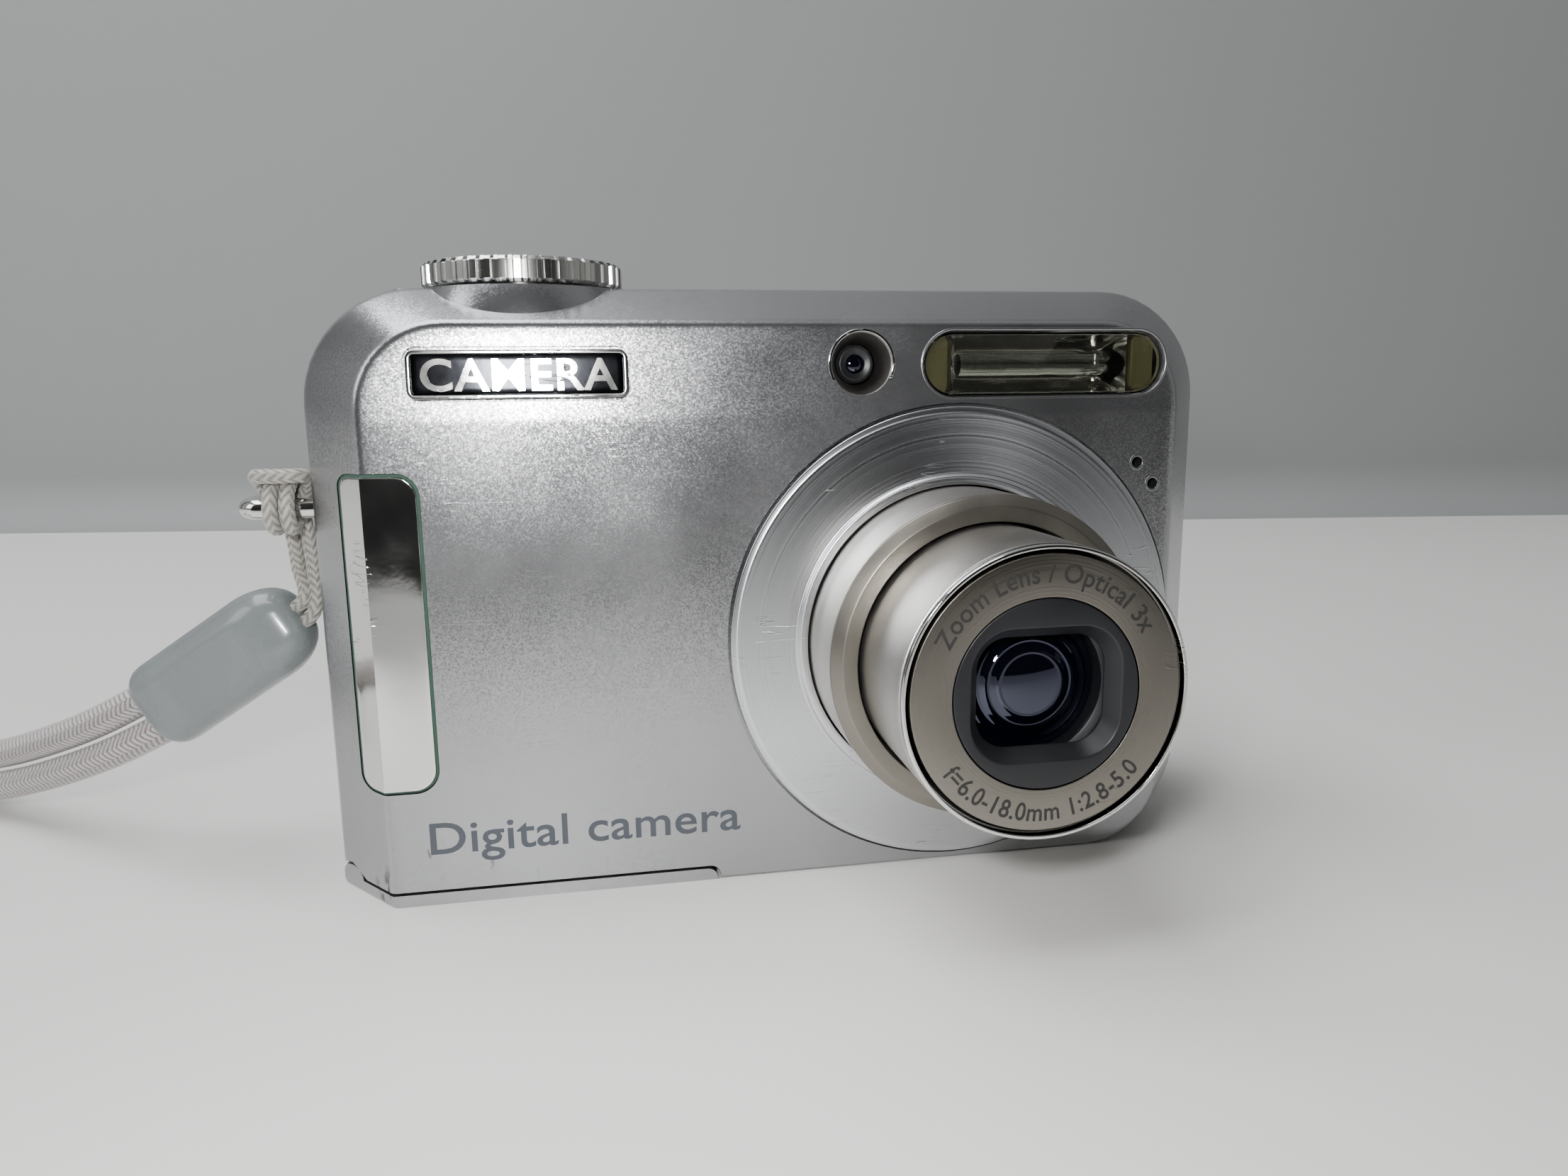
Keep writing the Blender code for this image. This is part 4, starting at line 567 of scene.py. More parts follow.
def braided(name, light, dark, sheen=0.6):
    """Braided polyester: the painted yarn shade on each point follows how high the yarn lies, a painted
    highlight where it lies high and painted shade in the dips between yarns.
    """
    made, tree, shader, coords = new_finish(name)
    thread = add(tree, "Attribute", (), "Fac", attribute_name="thread")
    fuzz = add(tree, "TexNoise", {"Vector": coords, "Scale": 1.0 / 0.00020})
    mottle = add(tree, "MapRange", (fuzz, 0.3, 0.7, -0.12, 0.12))
    bright = add(tree, "Math", (thread, mottle), operation="ADD")
    share = add(tree, "MapRange", (bright, 0.05, 0.95))
    feed(tree, shader, {
        # Mix from the dark colour (painted shade) to the light colour (painted highlight) by the painted yarn
        # shade
        "Base Color": add(tree, "Mix", {0: share, 6: tuple(dark), 7: tuple(light)}, 2, data_type="RGBA"),
        "Roughness": 0.48, "Sheen Weight": sheen, "Sheen Roughness": 0.4,
        "Normal": add(tree, "Bump", {"Height": fuzz, "Distance": 0.00005, "Strength": 0.5})})
    return made


def woven_board(name, base):
    """Circuit board: green solder mask over a glass weave, with copper tracks."""
    made, tree, shader, coords = new_finish(name)
    weave = add(tree, "TexNoise", {"Vector": coords, "Scale": 1.0 / 0.0008})
    feed(tree, shader, {
        "Base Color": add(tree, "TexBrick", {"Vector": coords, "Scale": 220.0, "Color1": tuple(base),
                                             "Color2": linear("#0F5A34"), "Mortar": linear("#6F7A35")}),
        "Roughness": 0.4,
        "Normal": add(tree, "Bump", {"Height": weave, "Distance": 0.00005, "Strength": 0.5})})
    return made


FINISHES = {}


def make_finishes(colours, sizes):
    """Every finish, named for what the real surface is."""
    FINISHES.update({
        "shell": flake_paint("aluminium_flake_paint", colours.paint, 0.25,
                             (((-0.0375, FRONT, 0.0058), 0.0030, 0.60),
                              ((-0.0405, FRONT, 0.0012), 0.0034, 0.56),
                              ((-0.0300, FRONT, 0.0004), 0.0060, 0.60),
                              ((0.0385, FRONT + 0.002, 0.0040), 0.0060, 0.60))),
        "spun": spun_metal("spun_aluminium", colours.spun, 0.24, sizes.groove_pitch, 0.75),
        "name_ring": spun_metal("brushed_dark_aluminium", colours.bronze, 0.30, sizes.groove_pitch * 0.7,
                                0.6),
        "satin": blasted_metal("bead_blasted_aluminium", colours.satin),
        "bronze": blasted_metal("anodised_barrel_face", colours.bronze, 0.38),
        "chrome": plated("chrome_plate", colours.chrome),
        "dial": plated("satin_chrome_plate", colours.chrome, 0.16, 0.3),
        "dial_dark": plated("dark_plated_field", linear("#1B1C1E"), 0.10),
        "picture": moulded("dark_picture_area", linear("#191B20"), 0.08, 0.003, 0.0000005, coat=1.0),
        "steel": blasted_metal("stamped_steel", linear("#A9A9A6"), 0.30),
        "brass": blasted_metal("turned_brass", linear("#B99A55"), 0.28),
        "black": moulded("black_polycarbonate", colours.black, 0.40),
        "matt_black": moulded("flocked_black_baffle", linear("#060607"), 0.75),
        "keys": moulded("silver_moulded_keys", linear("#A9ABAE"), 0.34),
        "nylon": moulded("natural_nylon", linear("#D8D4C8"), 0.5),
        "cell": moulded("printed_cell_jacket", linear("#23252B"), 0.30, coat=0.5),
        "olive": moulded("yellowed_flash_ends", linear("#6E6B4E"), 0.25),
        "ink": moulded("screen_printed_ink", colours.ink, 0.45),
        "ring_ink": moulded("black_engraving_fill", linear("#262524"), 0.5),
        "verdigris": moulded("grime_and_verdigris", linear("#3E5B4E"), 0.8, 0.0004, 0.0001),
        "bead": moulded("moulded_soft_vinyl", colours.bead, 0.26, 0.0006, 0.000004, coat=0.3),
        "flash_glass": clear("moulded_flash_lens", linear("#F1F1E8"), ((0.0255, 0.0510), 0.00078)),
        "lamp_glass": clear("polished_acrylic", linear("#F4F6F6")),
        "lens_glass": coated_glass("coated_optical_glass"),
        "screen_glass": moulded("screen_cover_glass", linear("#0B0C0F"), 0.05, 0.003, 0.0000005, coat=1.0),
        "board": woven_board("solder_mask_on_glass_weave", linear("#155C3A")),
        # Both cords mix a painted highlight on the yarn crowns with painted shade in the dips; for the thin
        # cord these are its two colours given here
        "cord": braided("braided_polyester", colours.cord_painted_highlight, colours.cord_painted_shade),
        "thin_cord": braided("waxed_cotton_plait", linear("#B9B6AD"), linear("#6A675F"), 0.3),
    })


# ---------------------------------------------------------------- body shells

def side_column(x, sign, base, top, low_radius, high_radius):
    """One side of the outline from base to top: quarter round, straight side, quarter round.

    The straight side has rows just below, on and above the facet's crease, the same on both sides.
    """
    quarter = np.linspace(0.0, np.pi / 2, 13)
    low = np.stack((x - sign * low_radius * (1 - np.sin(quarter)),
                    base + low_radius * (1 - np.cos(quarter))), -1)
    high = np.stack((x - sign * high_radius * (1 - np.cos(quarter)),
                     top - high_radius * (1 - np.sin(quarter))), -1)
    crease = FACET_HEIGHT + np.linspace(-0.0004, 0.0004, 5)
    straight = np.concatenate((np.linspace(base + low_radius, crease[0], 14)[1:-1], crease))
    return np.concatenate((low, np.stack((np.full(len(straight), x), straight), -1), high))


def body_grid(share, inset, at_depth, columns=40):
    """Grid over the body's cross-section; share 1 is the small front face and 0 the full outline.

    Rows run between the left and the right side; the inset moves every edge inwards.
    """
    side = CHAMFER_SIDE * share + inset
    top = TOP - CHAMFER_TOP * share - inset
    upper = CORNER_TOP + (CORNER_FRONT - CORNER_TOP) * share - inset
    left = side_column(LEFT + side, -1, inset, top, CORNER_SHARP, upper)
    right = side_column(RIGHT - side, 1, inset, top, CORNER_BASE - inset, upper)
    across = np.linspace(0.0, 1.0, columns + 1)[None, :, None]
    return place("Y", left[:, None, :] * (1 - across) + right[:, None, :] * across, FRONT + at_depth)


def lean_facet(points, crease):
    """The face above the crease leans back: depth grows by height over the crease times the tilt."""
    over = points[..., 2] - FACET_HEIGHT
    over = 0.5 * (over + np.sqrt(over ** 2 + crease ** 2))
    share = np.clip(1.0 - (points[..., 1] - FRONT) / CHAMFER_DEPTH, 0.0, 1.0)
    points[..., 1] += over * math.tan(FACET_TILT) * share
    return points


def front_form(sizes, inset=0.0):
    """Front shell: flat face, wide chamfer, straight side, and the same form one wall further in."""
    split = SPLIT - FRONT
    cap = body_grid(1.0, inset + 0.0014, inset)
    rings = [boundary(body_grid(1.0, inset, inset)),
             boundary(body_grid(0.0, inset, CHAMFER_DEPTH + inset / 2)),
             boundary(body_grid(0.0, inset, split)), boundary(body_grid(0.0, inset + WALL, split)),
             boundary(body_grid(0.0, inset + WALL, CHAMFER_DEPTH + WALL)),
             boundary(body_grid(0.8, inset + WALL, inset + WALL))]
    back = body_grid(0.8, inset + WALL, inset + WALL)
    reach = [sizes.front_round, sizes.side_round, 0.0001, 0.0001, 0.0001]
    points, faces = shell(cap, rings, reach, back)
    return lean_facet(points, sizes.crease_round), faces


def rear_form():
    """Rear shell: straight side and a quarter round into the flat rear face."""
    start, deep = SPLIT + GAP - FRONT, REAR - FRONT
    cap = body_grid(0.0, REAR_ROUND + 0.0004, deep)
    angles = np.radians(np.arange(90.0, -1.0, -7.5))
    rings = [boundary(body_grid(0.0, REAR_ROUND * (1 - math.cos(a)), deep - REAR_ROUND * (1 - math.sin(a))))
             for a in angles]
    rings += [boundary(body_grid(0.0, 0.0, start)), boundary(body_grid(0.0, WALL, start)),
              boundary(body_grid(0.0, WALL + 0.0010, deep - WALL))]
    back = body_grid(0.0, WALL + 0.0010, deep - WALL)
    reach = [0.00005] * (len(rings) - 1)
    return shell(cap, rings, reach, back, steps=2)


def ring_cutter(radius, low, high, axis="Y", centre=LENS, count=96):
    return loft([place(axis, circle(centre, radius, count), low),
                 place(axis, circle(centre, radius, count), high)])


def outline_cutter(outline, low, high, axis="Y"):
    return loft([place(axis, outline, low), place(axis, outline, high)])


def node_outline(name, radius, grow=0.0, axis="Y", steps=10):
    """Rounded rectangle round a CAD node's box, seen along the axis."""
    low, high = (np.array(corner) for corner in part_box(name))
    keep = [k for k in range(3) if "XYZ"[k] != axis]
    low, high = low[keep] - grow, high[keep] + grow
    return rounded_rectangle((low + high) / 2, high - low, np.asarray(radius) + grow, steps)


def door_outline(margin):
    """Section of the battery door: a low plate with a rounded right end and a hinge knuckle at the left."""
    low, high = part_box("battery_door")
    hinge = JOINTS["door_open"]["pos_m"]
    knuckle = hinge[0] - low.x
    plate = knuckle
    angle = np.radians(np.linspace(90, 180, 9))
    left = np.stack((hinge[0] + (knuckle + margin) * np.cos(angle),
                     hinge[2] + (knuckle + margin) * np.sin(angle)), -1)
    corner = 0.0011
    turn_angle = np.radians(np.linspace(0, 90, 9))
    right = np.stack((high.x + margin - corner + corner * np.cos(turn_angle),
                      plate + margin - corner + corner * np.sin(turn_angle)), -1)
    rise = np.array(((hinge[0] + 0.0016, plate + margin),))
    base = -4 * margin
    return np.concatenate((((high.x + margin, base),), right, rise, left, ((low.x - margin, base),)))


class CAMERA_OT_front_shell(bpy.types.Operator):
    """Front shell with its facet, chamfer, dial pedestal and every opening."""
    bl_idname = "camera_parts.front_shell"
    bl_label = "Front shell"

    def execute(self, context):
        sizes = context.scene.camera_sizes
        made = piece("front_shell", front_form(sizes), FINISHES["shell"])
        chord = FRONT + CHAMFER_DEPTH + 0.0012
        rows = []
        for radius, height in ((0.0104, TOP - 0.00002), (0.0110, TOP - 0.0014), (0.0117, TOP - 0.0040)):
            start = math.asin((DIAL[1] - chord) / radius)
            sweep_angle = np.linspace(math.pi + start, 2 * math.pi - start, 65)
            arc = np.asarray(DIAL) + radius * np.stack((np.cos(sweep_angle), np.sin(sweep_angle)), -1)
            rows.append(place("Z", arc, height))
        pedestal = loft(rows)
        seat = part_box("lens_ring")
        cutters = [
            ring_cutter(seat[1].x - LENS[0] + GAP, FRONT - WALL, seat[1].y + GAP),
            ring_cutter(0.01675, FRONT - 2 * WALL, FRONT + 2 * WALL + 0.0002),
            outline_cutter(node_outline("flash_window", 0.0031, GAP), FRONT - WALL,
                           FRONT + 2 * WALL + 0.0004),
            ring_cutter(0.0030, FRONT - WALL, FRONT + 2 * WALL + 0.0003, centre=LAMP, count=48),
            outline_cutter(node_outline("badge_plate", 0.0010, GAP), FRONT - WALL, FRONT + 0.0009),
            outline_cutter(door_outline(GAP), FRONT - WALL, SPLIT + WALL),
            outline_cutter(top_outline(GAP), TOP - 0.0014, TOP + WALL, "Z"),
            grip_shape(GAP, None, 0.0011),
        ]
        cutters += [ring_cutter(0.00062, FRONT - WALL, FRONT + 2 * WALL, centre=spot, count=24)
                    for spot in MICROPHONES]
        cutters.append(ring_cutter(0.0013, LEFT - WALL, LEFT + 2 * WALL, "X", (lug_axis()[0], lug_axis()[1]),
                                   24))
        carve(made, cutters, [pedestal])
        settle(made, "camera_body", "silver_paint", "front_cover")
        return {"FINISHED"}


MICROPHONES = ((0.0356, 0.0411), (0.0374, 0.0389))
LAMP = (0.0068, 0.0511)


def lug_axis():
    low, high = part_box("strap_lug")
    return low.y + 0.0010, (low.z + high.z) / 2


def top_outline(margin):
    low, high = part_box("top_cover")
    size = (high.x - low.x + 2 * margin, high.y - low.y + 2 * margin)
    return rounded_rectangle(((low.x + high.x) / 2, (low.y + high.y) / 2), size,
                             (0.0030, 0.0030, 0.0012, 0.0012))


class CAMERA_OT_rear_shell(bpy.types.Operator):
    """Rear shell with the openings for screen, keys, jack flap, door and tripod socket."""
    bl_idname = "camera_parts.rear_shell"
    bl_label = "Rear shell"

    def execute(self, context):
        made = piece("rear_shell", rear_form(), FINISHES["shell"])
        deep = REAR - 2 * WALL
        cutters = [
            outline_cutter(node_outline("lcd_window", 0.0016, GAP), deep, REAR + WALL),
            outline_cutter(node_outline("zoom_rocker", 0.0019, GAP), deep, REAR + WALL),
            ring_cutter(0.0087, deep, REAR + WALL, centre=PAD),
            outline_cutter(door_outline(GAP), SPLIT - WALL, REAR + WALL),
            outline_cutter(top_outline(GAP), TOP - 0.0014, TOP + WALL, "Z"),
            ring_cutter(0.0045, BASE - WALL, BASE + 2 * WALL, "Z", node_centre("tripod_socket", "Z"), 48),
        ]
        for name in ("menu_button", "play_button", "delete_button"):
            cutters.append(ring_cutter(0.0026, deep, REAR + WALL, centre=node_centre(name, "Y"), count=48))
        for name in ("base_screw_1", "base_screw_2"):
            cutters.append(ring_cutter(0.0016, BASE - WALL, BASE + 0.0011, "Z", node_centre(name, "Z"), 32))
        low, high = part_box("jack_cover")
        flap = rounded_rectangle(((low.y + high.y) / 2, (low.z + high.z) / 2),
                                 (high.y - low.y + 2 * GAP, high.z - low.z + 2 * GAP), 0.0004, 4)
        cutters.append(outline_cutter(flap, RIGHT - 2 * WALL, RIGHT + WALL, "X"))
        rear_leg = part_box("strap_lug")[1].y - 0.0010
        cutters.append(ring_cutter(0.0013, LEFT - WALL, LEFT + 2 * WALL, "X", (rear_leg, lug_axis()[1]), 24))
        carve(made, cutters)
        settle(made, "camera_body", "silver_paint", "rear_cover")
        return {"FINISHED"}


def node_centre(name, axis):
    low, high = (np.array(corner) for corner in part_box(name))
    return ((low + high) / 2)[[k for k in range(3) if "XYZ"[k] != axis]]


class CAMERA_OT_small_covers(bpy.types.Operator):
    """Top plate, battery door with its latch, and the jack flap."""
    bl_idname = "camera_parts.small_covers"
    bl_label = "Top plate, door and flap"

    def execute(self, context):
        low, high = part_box("top_cover")
        plate = stack(lambda inset: top_outline(-inset), ((low.z, 0.0), (high.z, 0.0), (high.z, 0.0012)),
                      "Z", 0.0002)
        made = piece("top_plate", plate, FINISHES["shell"])
        power = node_centre("power_button", "Z")
        carve(made, [ring_cutter(0.0061, low.z - WALL, high.z + WALL, "Z", DIAL, 64),
                     ring_cutter(0.0027, low.z - WALL, high.z + WALL, "Z", power, 40)])
        settle(made, "camera_body", "silver_paint", "top_cover")
        paint_nodes(FINISHES["shell"], "battery_door")
        paint_nodes(FINISHES["keys"], "door_latch")
        paint_nodes(FINISHES["shell"], "jack_cover")
        flap_low, flap_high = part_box("jack_cover")
        mark, faces = words("USB  DC", 0.0016, 0.00002)
        turned_mark = np.stack((flap_high.x + mark[:, 2] + 0.00002,
                                (flap_low.y + flap_high.y) / 2 + mark[:, 1] - 0.0005,
                                (flap_low.z + flap_high.z) / 2 + mark[:, 0]), -1)
        print_mark = piece("flap_legend", (turned_mark, faces), FINISHES["ink"])
        settle(print_mark, "jack_flap", "rear_plastic")
        return {"FINISHED"}


# ---------------------------------------------------------------- front trim

def grip_shape(grow, front, back):
    """Plate folded over the chamfer, or with no front depth the straight cutter of its pocket.

    Rows run up the plate and columns across it, one of them along the fold. The depth is that of
    the body, plus for the plate a shallow hollow on each side of the fold.
    """
    low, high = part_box("grip_trim")
    x0, x1, z0, z1 = low.x - grow, high.x + grow, low.z - grow, high.z + grow
    ease = 0.5 - 0.5 * np.cos(np.linspace(0.0, np.pi, 61))
    height = z0 + (z1 - z0) * ease

    def drawn_in(low_radius, high_radius):
        """How far the side is drawn in by its two corner rounds."""
        below = np.clip((z0 + low_radius - height) / low_radius, 0.0, 1.0)
        above = np.clip((height - z1 + high_radius) / high_radius, 0.0, 1.0)
        return low_radius * (1 - np.sqrt(1 - below ** 2)) + high_radius * (1 - np.sqrt(1 - above ** 2))

    left = x0 + drawn_in(0.0012 + grow, 0.0010 + grow)
    right = x1 - drawn_in(0.0020 + grow, 0.0018 + grow)
    fold = LEFT + CHAMFER_SIDE

    def layer(shrink, at, hollowed):
        z = z0 + shrink + (z1 - z0 - 2 * shrink) * ease
        share = np.linspace(0.0, 1.0, 13)
        west, east = (left + shrink)[:, None], (right - shrink)[:, None]
        x = np.concatenate((west + (fold - west) * share, fold + (east - fold) * share[1:]), 1)
        y = FRONT + np.maximum(0.0, fold - x) * CHAMFER_DEPTH / CHAMFER_SIDE + at
        if hollowed:
            rise = np.sin(np.pi * ease)[:, None]
            y += np.where(x < fold, (x - west) * (fold - x) * 60.0, (x - fold) * (east - x) * 34.0) * rise
        return np.stack((x, y, np.broadcast_to(z[:, None], x.shape)), -1)

    if front is None:
        straight = layer(0.0, 0.0, False)
        straight[..., 1] = FRONT - 0.0020
        return between(straight, layer(0.0, back, False))
    cap = layer(0.00024, front, True)
    rings = [boundary(layer(0.0, front, True)), boundary(layer(0.0, front + 0.0004, False)),
             boundary(layer(0.0, back, False))]
    return shell(cap, rings, [0.00022, 0.00001], layer(0.0, back, False))


def between(front, back):
    """Closed solid between two grids of the same size."""
    sides = loft([boundary(front), boundary(back)], capped=False)
    return gather(sides, (front.reshape(-1, 3), grid_faces(*front.shape[:2])),
                  (back.reshape(-1, 3), grid_faces(*back.shape[:2])))


class CAMERA_OT_grip(bpy.types.Operator):
    """Chrome grip plate with grime along its edge."""
    bl_idname = "camera_parts.grip"
    bl_label = "Grip plate"

    def execute(self, context):
        made = piece("grip_plate", grip_shape(0.0, -0.00010, 0.0009), FINISHES["chrome"], 20.0)
        settle(made, "camera_body", "chrome", "grip_trim")
        made = piece("grip_grime", grip_shape(GAP * 0.9, 0.00022, 0.0010), FINISHES["verdigris"])
        settle(made, "camera_body", "chrome")
        return {"FINISHED"}


class CAMERA_OT_badge(bpy.types.Operator):
    """Generic chrome badge and the printed words below."""
    bl_idname = "camera_parts.badge"
    bl_label = "Badge and print"

    def execute(self, context):
        low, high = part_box("badge_plate")
        centre = ((low.x + high.x) / 2, (low.z + high.z) / 2)
        size = (high.x - low.x, high.z - low.z)

        def section(inset):
            return rounded_rectangle(centre, np.array(size) - 2 * inset, max(0.0008 - inset, 0.0003), 6)

        rim = [place("Y", section(inset), FRONT + at) for at, inset in
               soften(((0.0005, 0.0), (-0.00005, 0.0), (-0.00005, 0.00032), (0.0002, 0.00036),
                       (0.0005, 0.00036)), 0.00005)]
        parts = [("badge_rim", loft(rim, closed_rows=True), "chrome"),
                 ("badge_field", stack(section, ((FRONT + 0.0006, 0.0003), (FRONT + 0.00022, 0.0003),
                                                 (FRONT + 0.00022, 0.0010)), "Y"), "dial_dark")]
        letters, faces = words("CAMERA", 0.00395, 0.00014, 0.00008, 1.08)
        spread = (size[0] - 0.0022) / np.ptp(letters[:, 0])
        raised = np.stack((centre[0] + letters[:, 0] * spread, FRONT + 0.00012 - letters[:, 2],
                           centre[1] + letters[:, 1] - 0.00140), -1)
        parts.append(("badge_letters", (raised, faces), "chrome"))
        for name, (points, some_faces), finish in parts:
            points = points.copy()
            points[:, 1] += np.maximum(points[:, 2] - FACET_HEIGHT, 0.0) * math.tan(FACET_TILT)
            made = piece(name, (points, some_faces), FINISHES[finish])
            settle(made, "camera_body", "chrome", *(["badge_plate"] if name == "badge_rim" else []))
        printed, faces = words("Digital camera", 0.0045, 0.00001, 0.00004, 1.02)
        spread = 0.0300 / np.ptp(printed[:, 0])
        flat = np.stack((-0.0210 + printed[:, 0] * spread, FRONT - 0.00002 - printed[:, 2],
                         0.0052 + printed[:, 1]), -1)
        settle(piece("front_print", (flat, faces), FINISHES["ink"]), "camera_body", "silver_paint")
        return {"FINISHED"}


class CAMERA_OT_flash(bpy.types.Operator):
    """Flash: bezel, ringed clear window, mirror trough, tube and yellowed ends."""
    bl_idname = "camera_parts.flash"
    bl_label = "Flash"

    def execute(self, context):
        low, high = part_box("flash_window")
        centre = ((low.x + high.x) / 2, (low.z + high.z) / 2)
        size = np.array((high.x - low.x, high.z - low.z))
        face = FRONT + (centre[1] - FACET_HEIGHT) * math.tan(FACET_TILT)

        def section(inset):
            return rounded_rectangle(centre, size - 2 * inset, size[1] / 2 - inset - 0.00002, 14)

        bezel = soften([(face + 0.0006, -0.0003), (face - 0.00010, -0.00034), (face - 0.00010, -0.00010),
                        (face + 0.0006, 0.0001)], 0.00010)
        rows = [place("Y", section(inset), at) for at, inset in bezel]
        settle(piece("flash_bezel", loft(rows, closed_rows=True), FINISHES["shell"]), "camera_body",
               "silver_paint")
        window = stack(section,
                       ((face + 0.0014, 0.00025), (face + 0.00035, 0.00025), (face + 0.00035, 0.0012)), "Y")
        settle(piece("flash_lens", window, FINISHES["flash_glass"]), "camera_body", "clear_plastic",
               "flash_window")
        back_low, back_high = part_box("flash_reflector")
        u, v = np.meshgrid(np.linspace(-1, 1, 61), np.linspace(-1, 1, 41))
        wide, tall = size[0] * 0.372, size[1] / 2 - 0.0002
        deep = back_high.y - back_low.y - 0.0006
        bowl = deep * (1 - np.abs(v) ** 2.4) * (1 - np.abs(u) ** 14)
        trough = np.stack((centre[0] + u * wide, back_low.y + 0.0002 + bowl, centre[1] + v * tall), -1)
        skin = np.stack((centre[0] + u * (wide + 0.0003), back_low.y + 0.0004 + bowl + 0.0003,
                         centre[1] + v * (tall + 0.0001)), -1)
        shape = shell(trough, [boundary(trough), boundary(skin)], [0.00001], skin)
        settle(piece("flash_trough", shape, FINISHES["chrome"]), "camera_body", "chrome", "flash_reflector")
        paint_nodes(FINISHES["lamp_glass"], "flash_tube")
        for index, side in enumerate((-1, 1)):
            x = centre[0] + side * (wide + 0.0003 + 0.0013)
            block = stack(lambda inset: rounded_rectangle((x, centre[1]), (0.0024 - 2 * inset, size[1]
                                                                           - 0.0008 - 2 * inset), 0.0006, 5),
                          ((face + 0.0036, 0.0), (face + 0.0018, 0.0), (face + 0.0018, 0.0006)), "Y")
            settle(piece(f"flash_end_{index + 1}", block, FINISHES["olive"]), "camera_body", "black_plastic")
        return {"FINISHED"}


class CAMERA_OT_lamp(bpy.types.Operator):
    """Focus lamp in its polished well, and the rims of the microphone holes."""
    bl_idname = "camera_parts.lamp"
    bl_label = "Focus lamp and microphone"

    def execute(self, context):
        face = FRONT + (LAMP[1] - FACET_HEIGHT) * math.tan(FACET_TILT)
        rim = turned_edge(((0.0030, face - 0.00008), (0.0033, face - 0.00008), (0.0033, face + 0.0003),
                           (0.0030, face + 0.0003)), 0.00008)
        settle(piece("lamp_rim", turn(rim, "Y", LAMP, 64), FINISHES["chrome"]), "camera_body", "chrome")
        well = turned_edge(((0.00295, face + 0.0002), (0.0020, face + 0.0026), (0.0020, face + 0.0030),
                            (0.0030, face + 0.0030), (0.0030, face + 0.0002)), 0.0001)
        made = piece("lamp_well", turn(well, "Y", LAMP, 64), FINISHES["satin"])
        settle(made, "camera_body", "black_plastic", "af_lamp_housing")
        eye = (LAMP[0] - 0.0004, LAMP[1])
        holder = turned_edge(((0.0009, face + 0.0012), (0.00155, face + 0.0010), (0.00185, face + 0.0014),
                              (0.00185, face + 0.0034), (0.0009, face + 0.0034)), 0.0001)
        settle(piece("lamp_holder", turn(holder, "Y", eye, 48), FINISHES["black"]), "camera_body",
               "black_plastic")
        angle = np.linspace(0.0, np.pi / 2, 9)
        dome = np.stack((0.0010 * np.sin(angle), face + 0.0018 - 0.0005 * np.cos(angle)), -1)
        dome = np.concatenate((dome, ((0.0010, face + 0.0030), (0.0, face + 0.0030))))
        made = piece("lamp_eye", turn(dome, "Y", eye, 32, closed=False), FINISHES["lens_glass"])
        settle(made, "camera_body", "coated_glass", "af_lamp_lens")
        for index, spot in enumerate(MICROPHONES):
            rim = turned_edge(((0.00056, FRONT - 0.00005), (0.00082, FRONT - 0.00005),
                               (0.00082, FRONT + 0.0002),
                               (0.00056, FRONT + 0.0004)), 0.00006)
            settle(piece(f"microphone_rim_{index + 1}", turn(rim, "Y", spot, 32), FINISHES["shell"]),
                   "camera_body", "silver_paint")
            plug = ring_cutter(0.0010, FRONT + 0.0022, FRONT + 0.0026, centre=spot, count=24)
            settle(piece(f"microphone_felt_{index + 1}", plug, FINISHES["matt_black"]), "camera_body",
                   "black_plastic")
        return {"FINISHED"}


# ---------------------------------------------------------------- lens

def swirl_uv(profile, count):
    """UV of a turned piece: U once round, V along the profile, so the tangent follows the turning marks."""
    profile = np.asarray(profile)
    v, u = np.meshgrid(np.linspace(0.0, 1.0, len(profile)), np.arange(count) / count, indexing="ij")
    return np.stack((u, v), -1).reshape(-1, 2)


def turned_piece(name, profile, finish, reach=None, count=160, closed=True, centre=LENS, axis="Y"):
    profile = turned_edge(profile, reach, closed)
    return piece(name, turn(profile, axis, centre, count, closed), FINISHES[finish],
                 uv=swirl_uv(profile, count))


class CAMERA_OT_lens_ring(bpy.types.Operator):
    """Wide spun ring: a shallow dish between a fine outer edge and a raised inner lip."""
    bl_idname = "camera_parts.lens_ring"
    bl_label = "Lens ring"

    def execute(self, context):
        low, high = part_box("lens_ring")
        outer = high.x - LENS[0]
        inner, lip, dish = 0.01538, 0.0008, 0.00035
        profile = ((inner, low.y), (inner + lip, low.y), (inner + lip + 0.0003, low.y + dish),
                   (outer - 0.0006, low.y + 0.00012), (outer, low.y + 0.00035), (outer, high.y),
                   (inner, high.y))
        made = turned_piece("spun_lens_ring", profile, "spun", 0.00014, 224)
        settle(made, "camera_body", "spun_aluminium", "lens_ring")
        throat = turned_edge(((inner, high.y), (0.0166, high.y), (0.0166, high.y + 0.0020),
                              (inner, high.y + 0.0020)), 0.0001)
        settle(piece("throat_seal", turn(throat, "Y", LENS, 96), FINISHES["matt_black"]), "camera_body",
               "black_plastic")
        return {"FINISHED"}


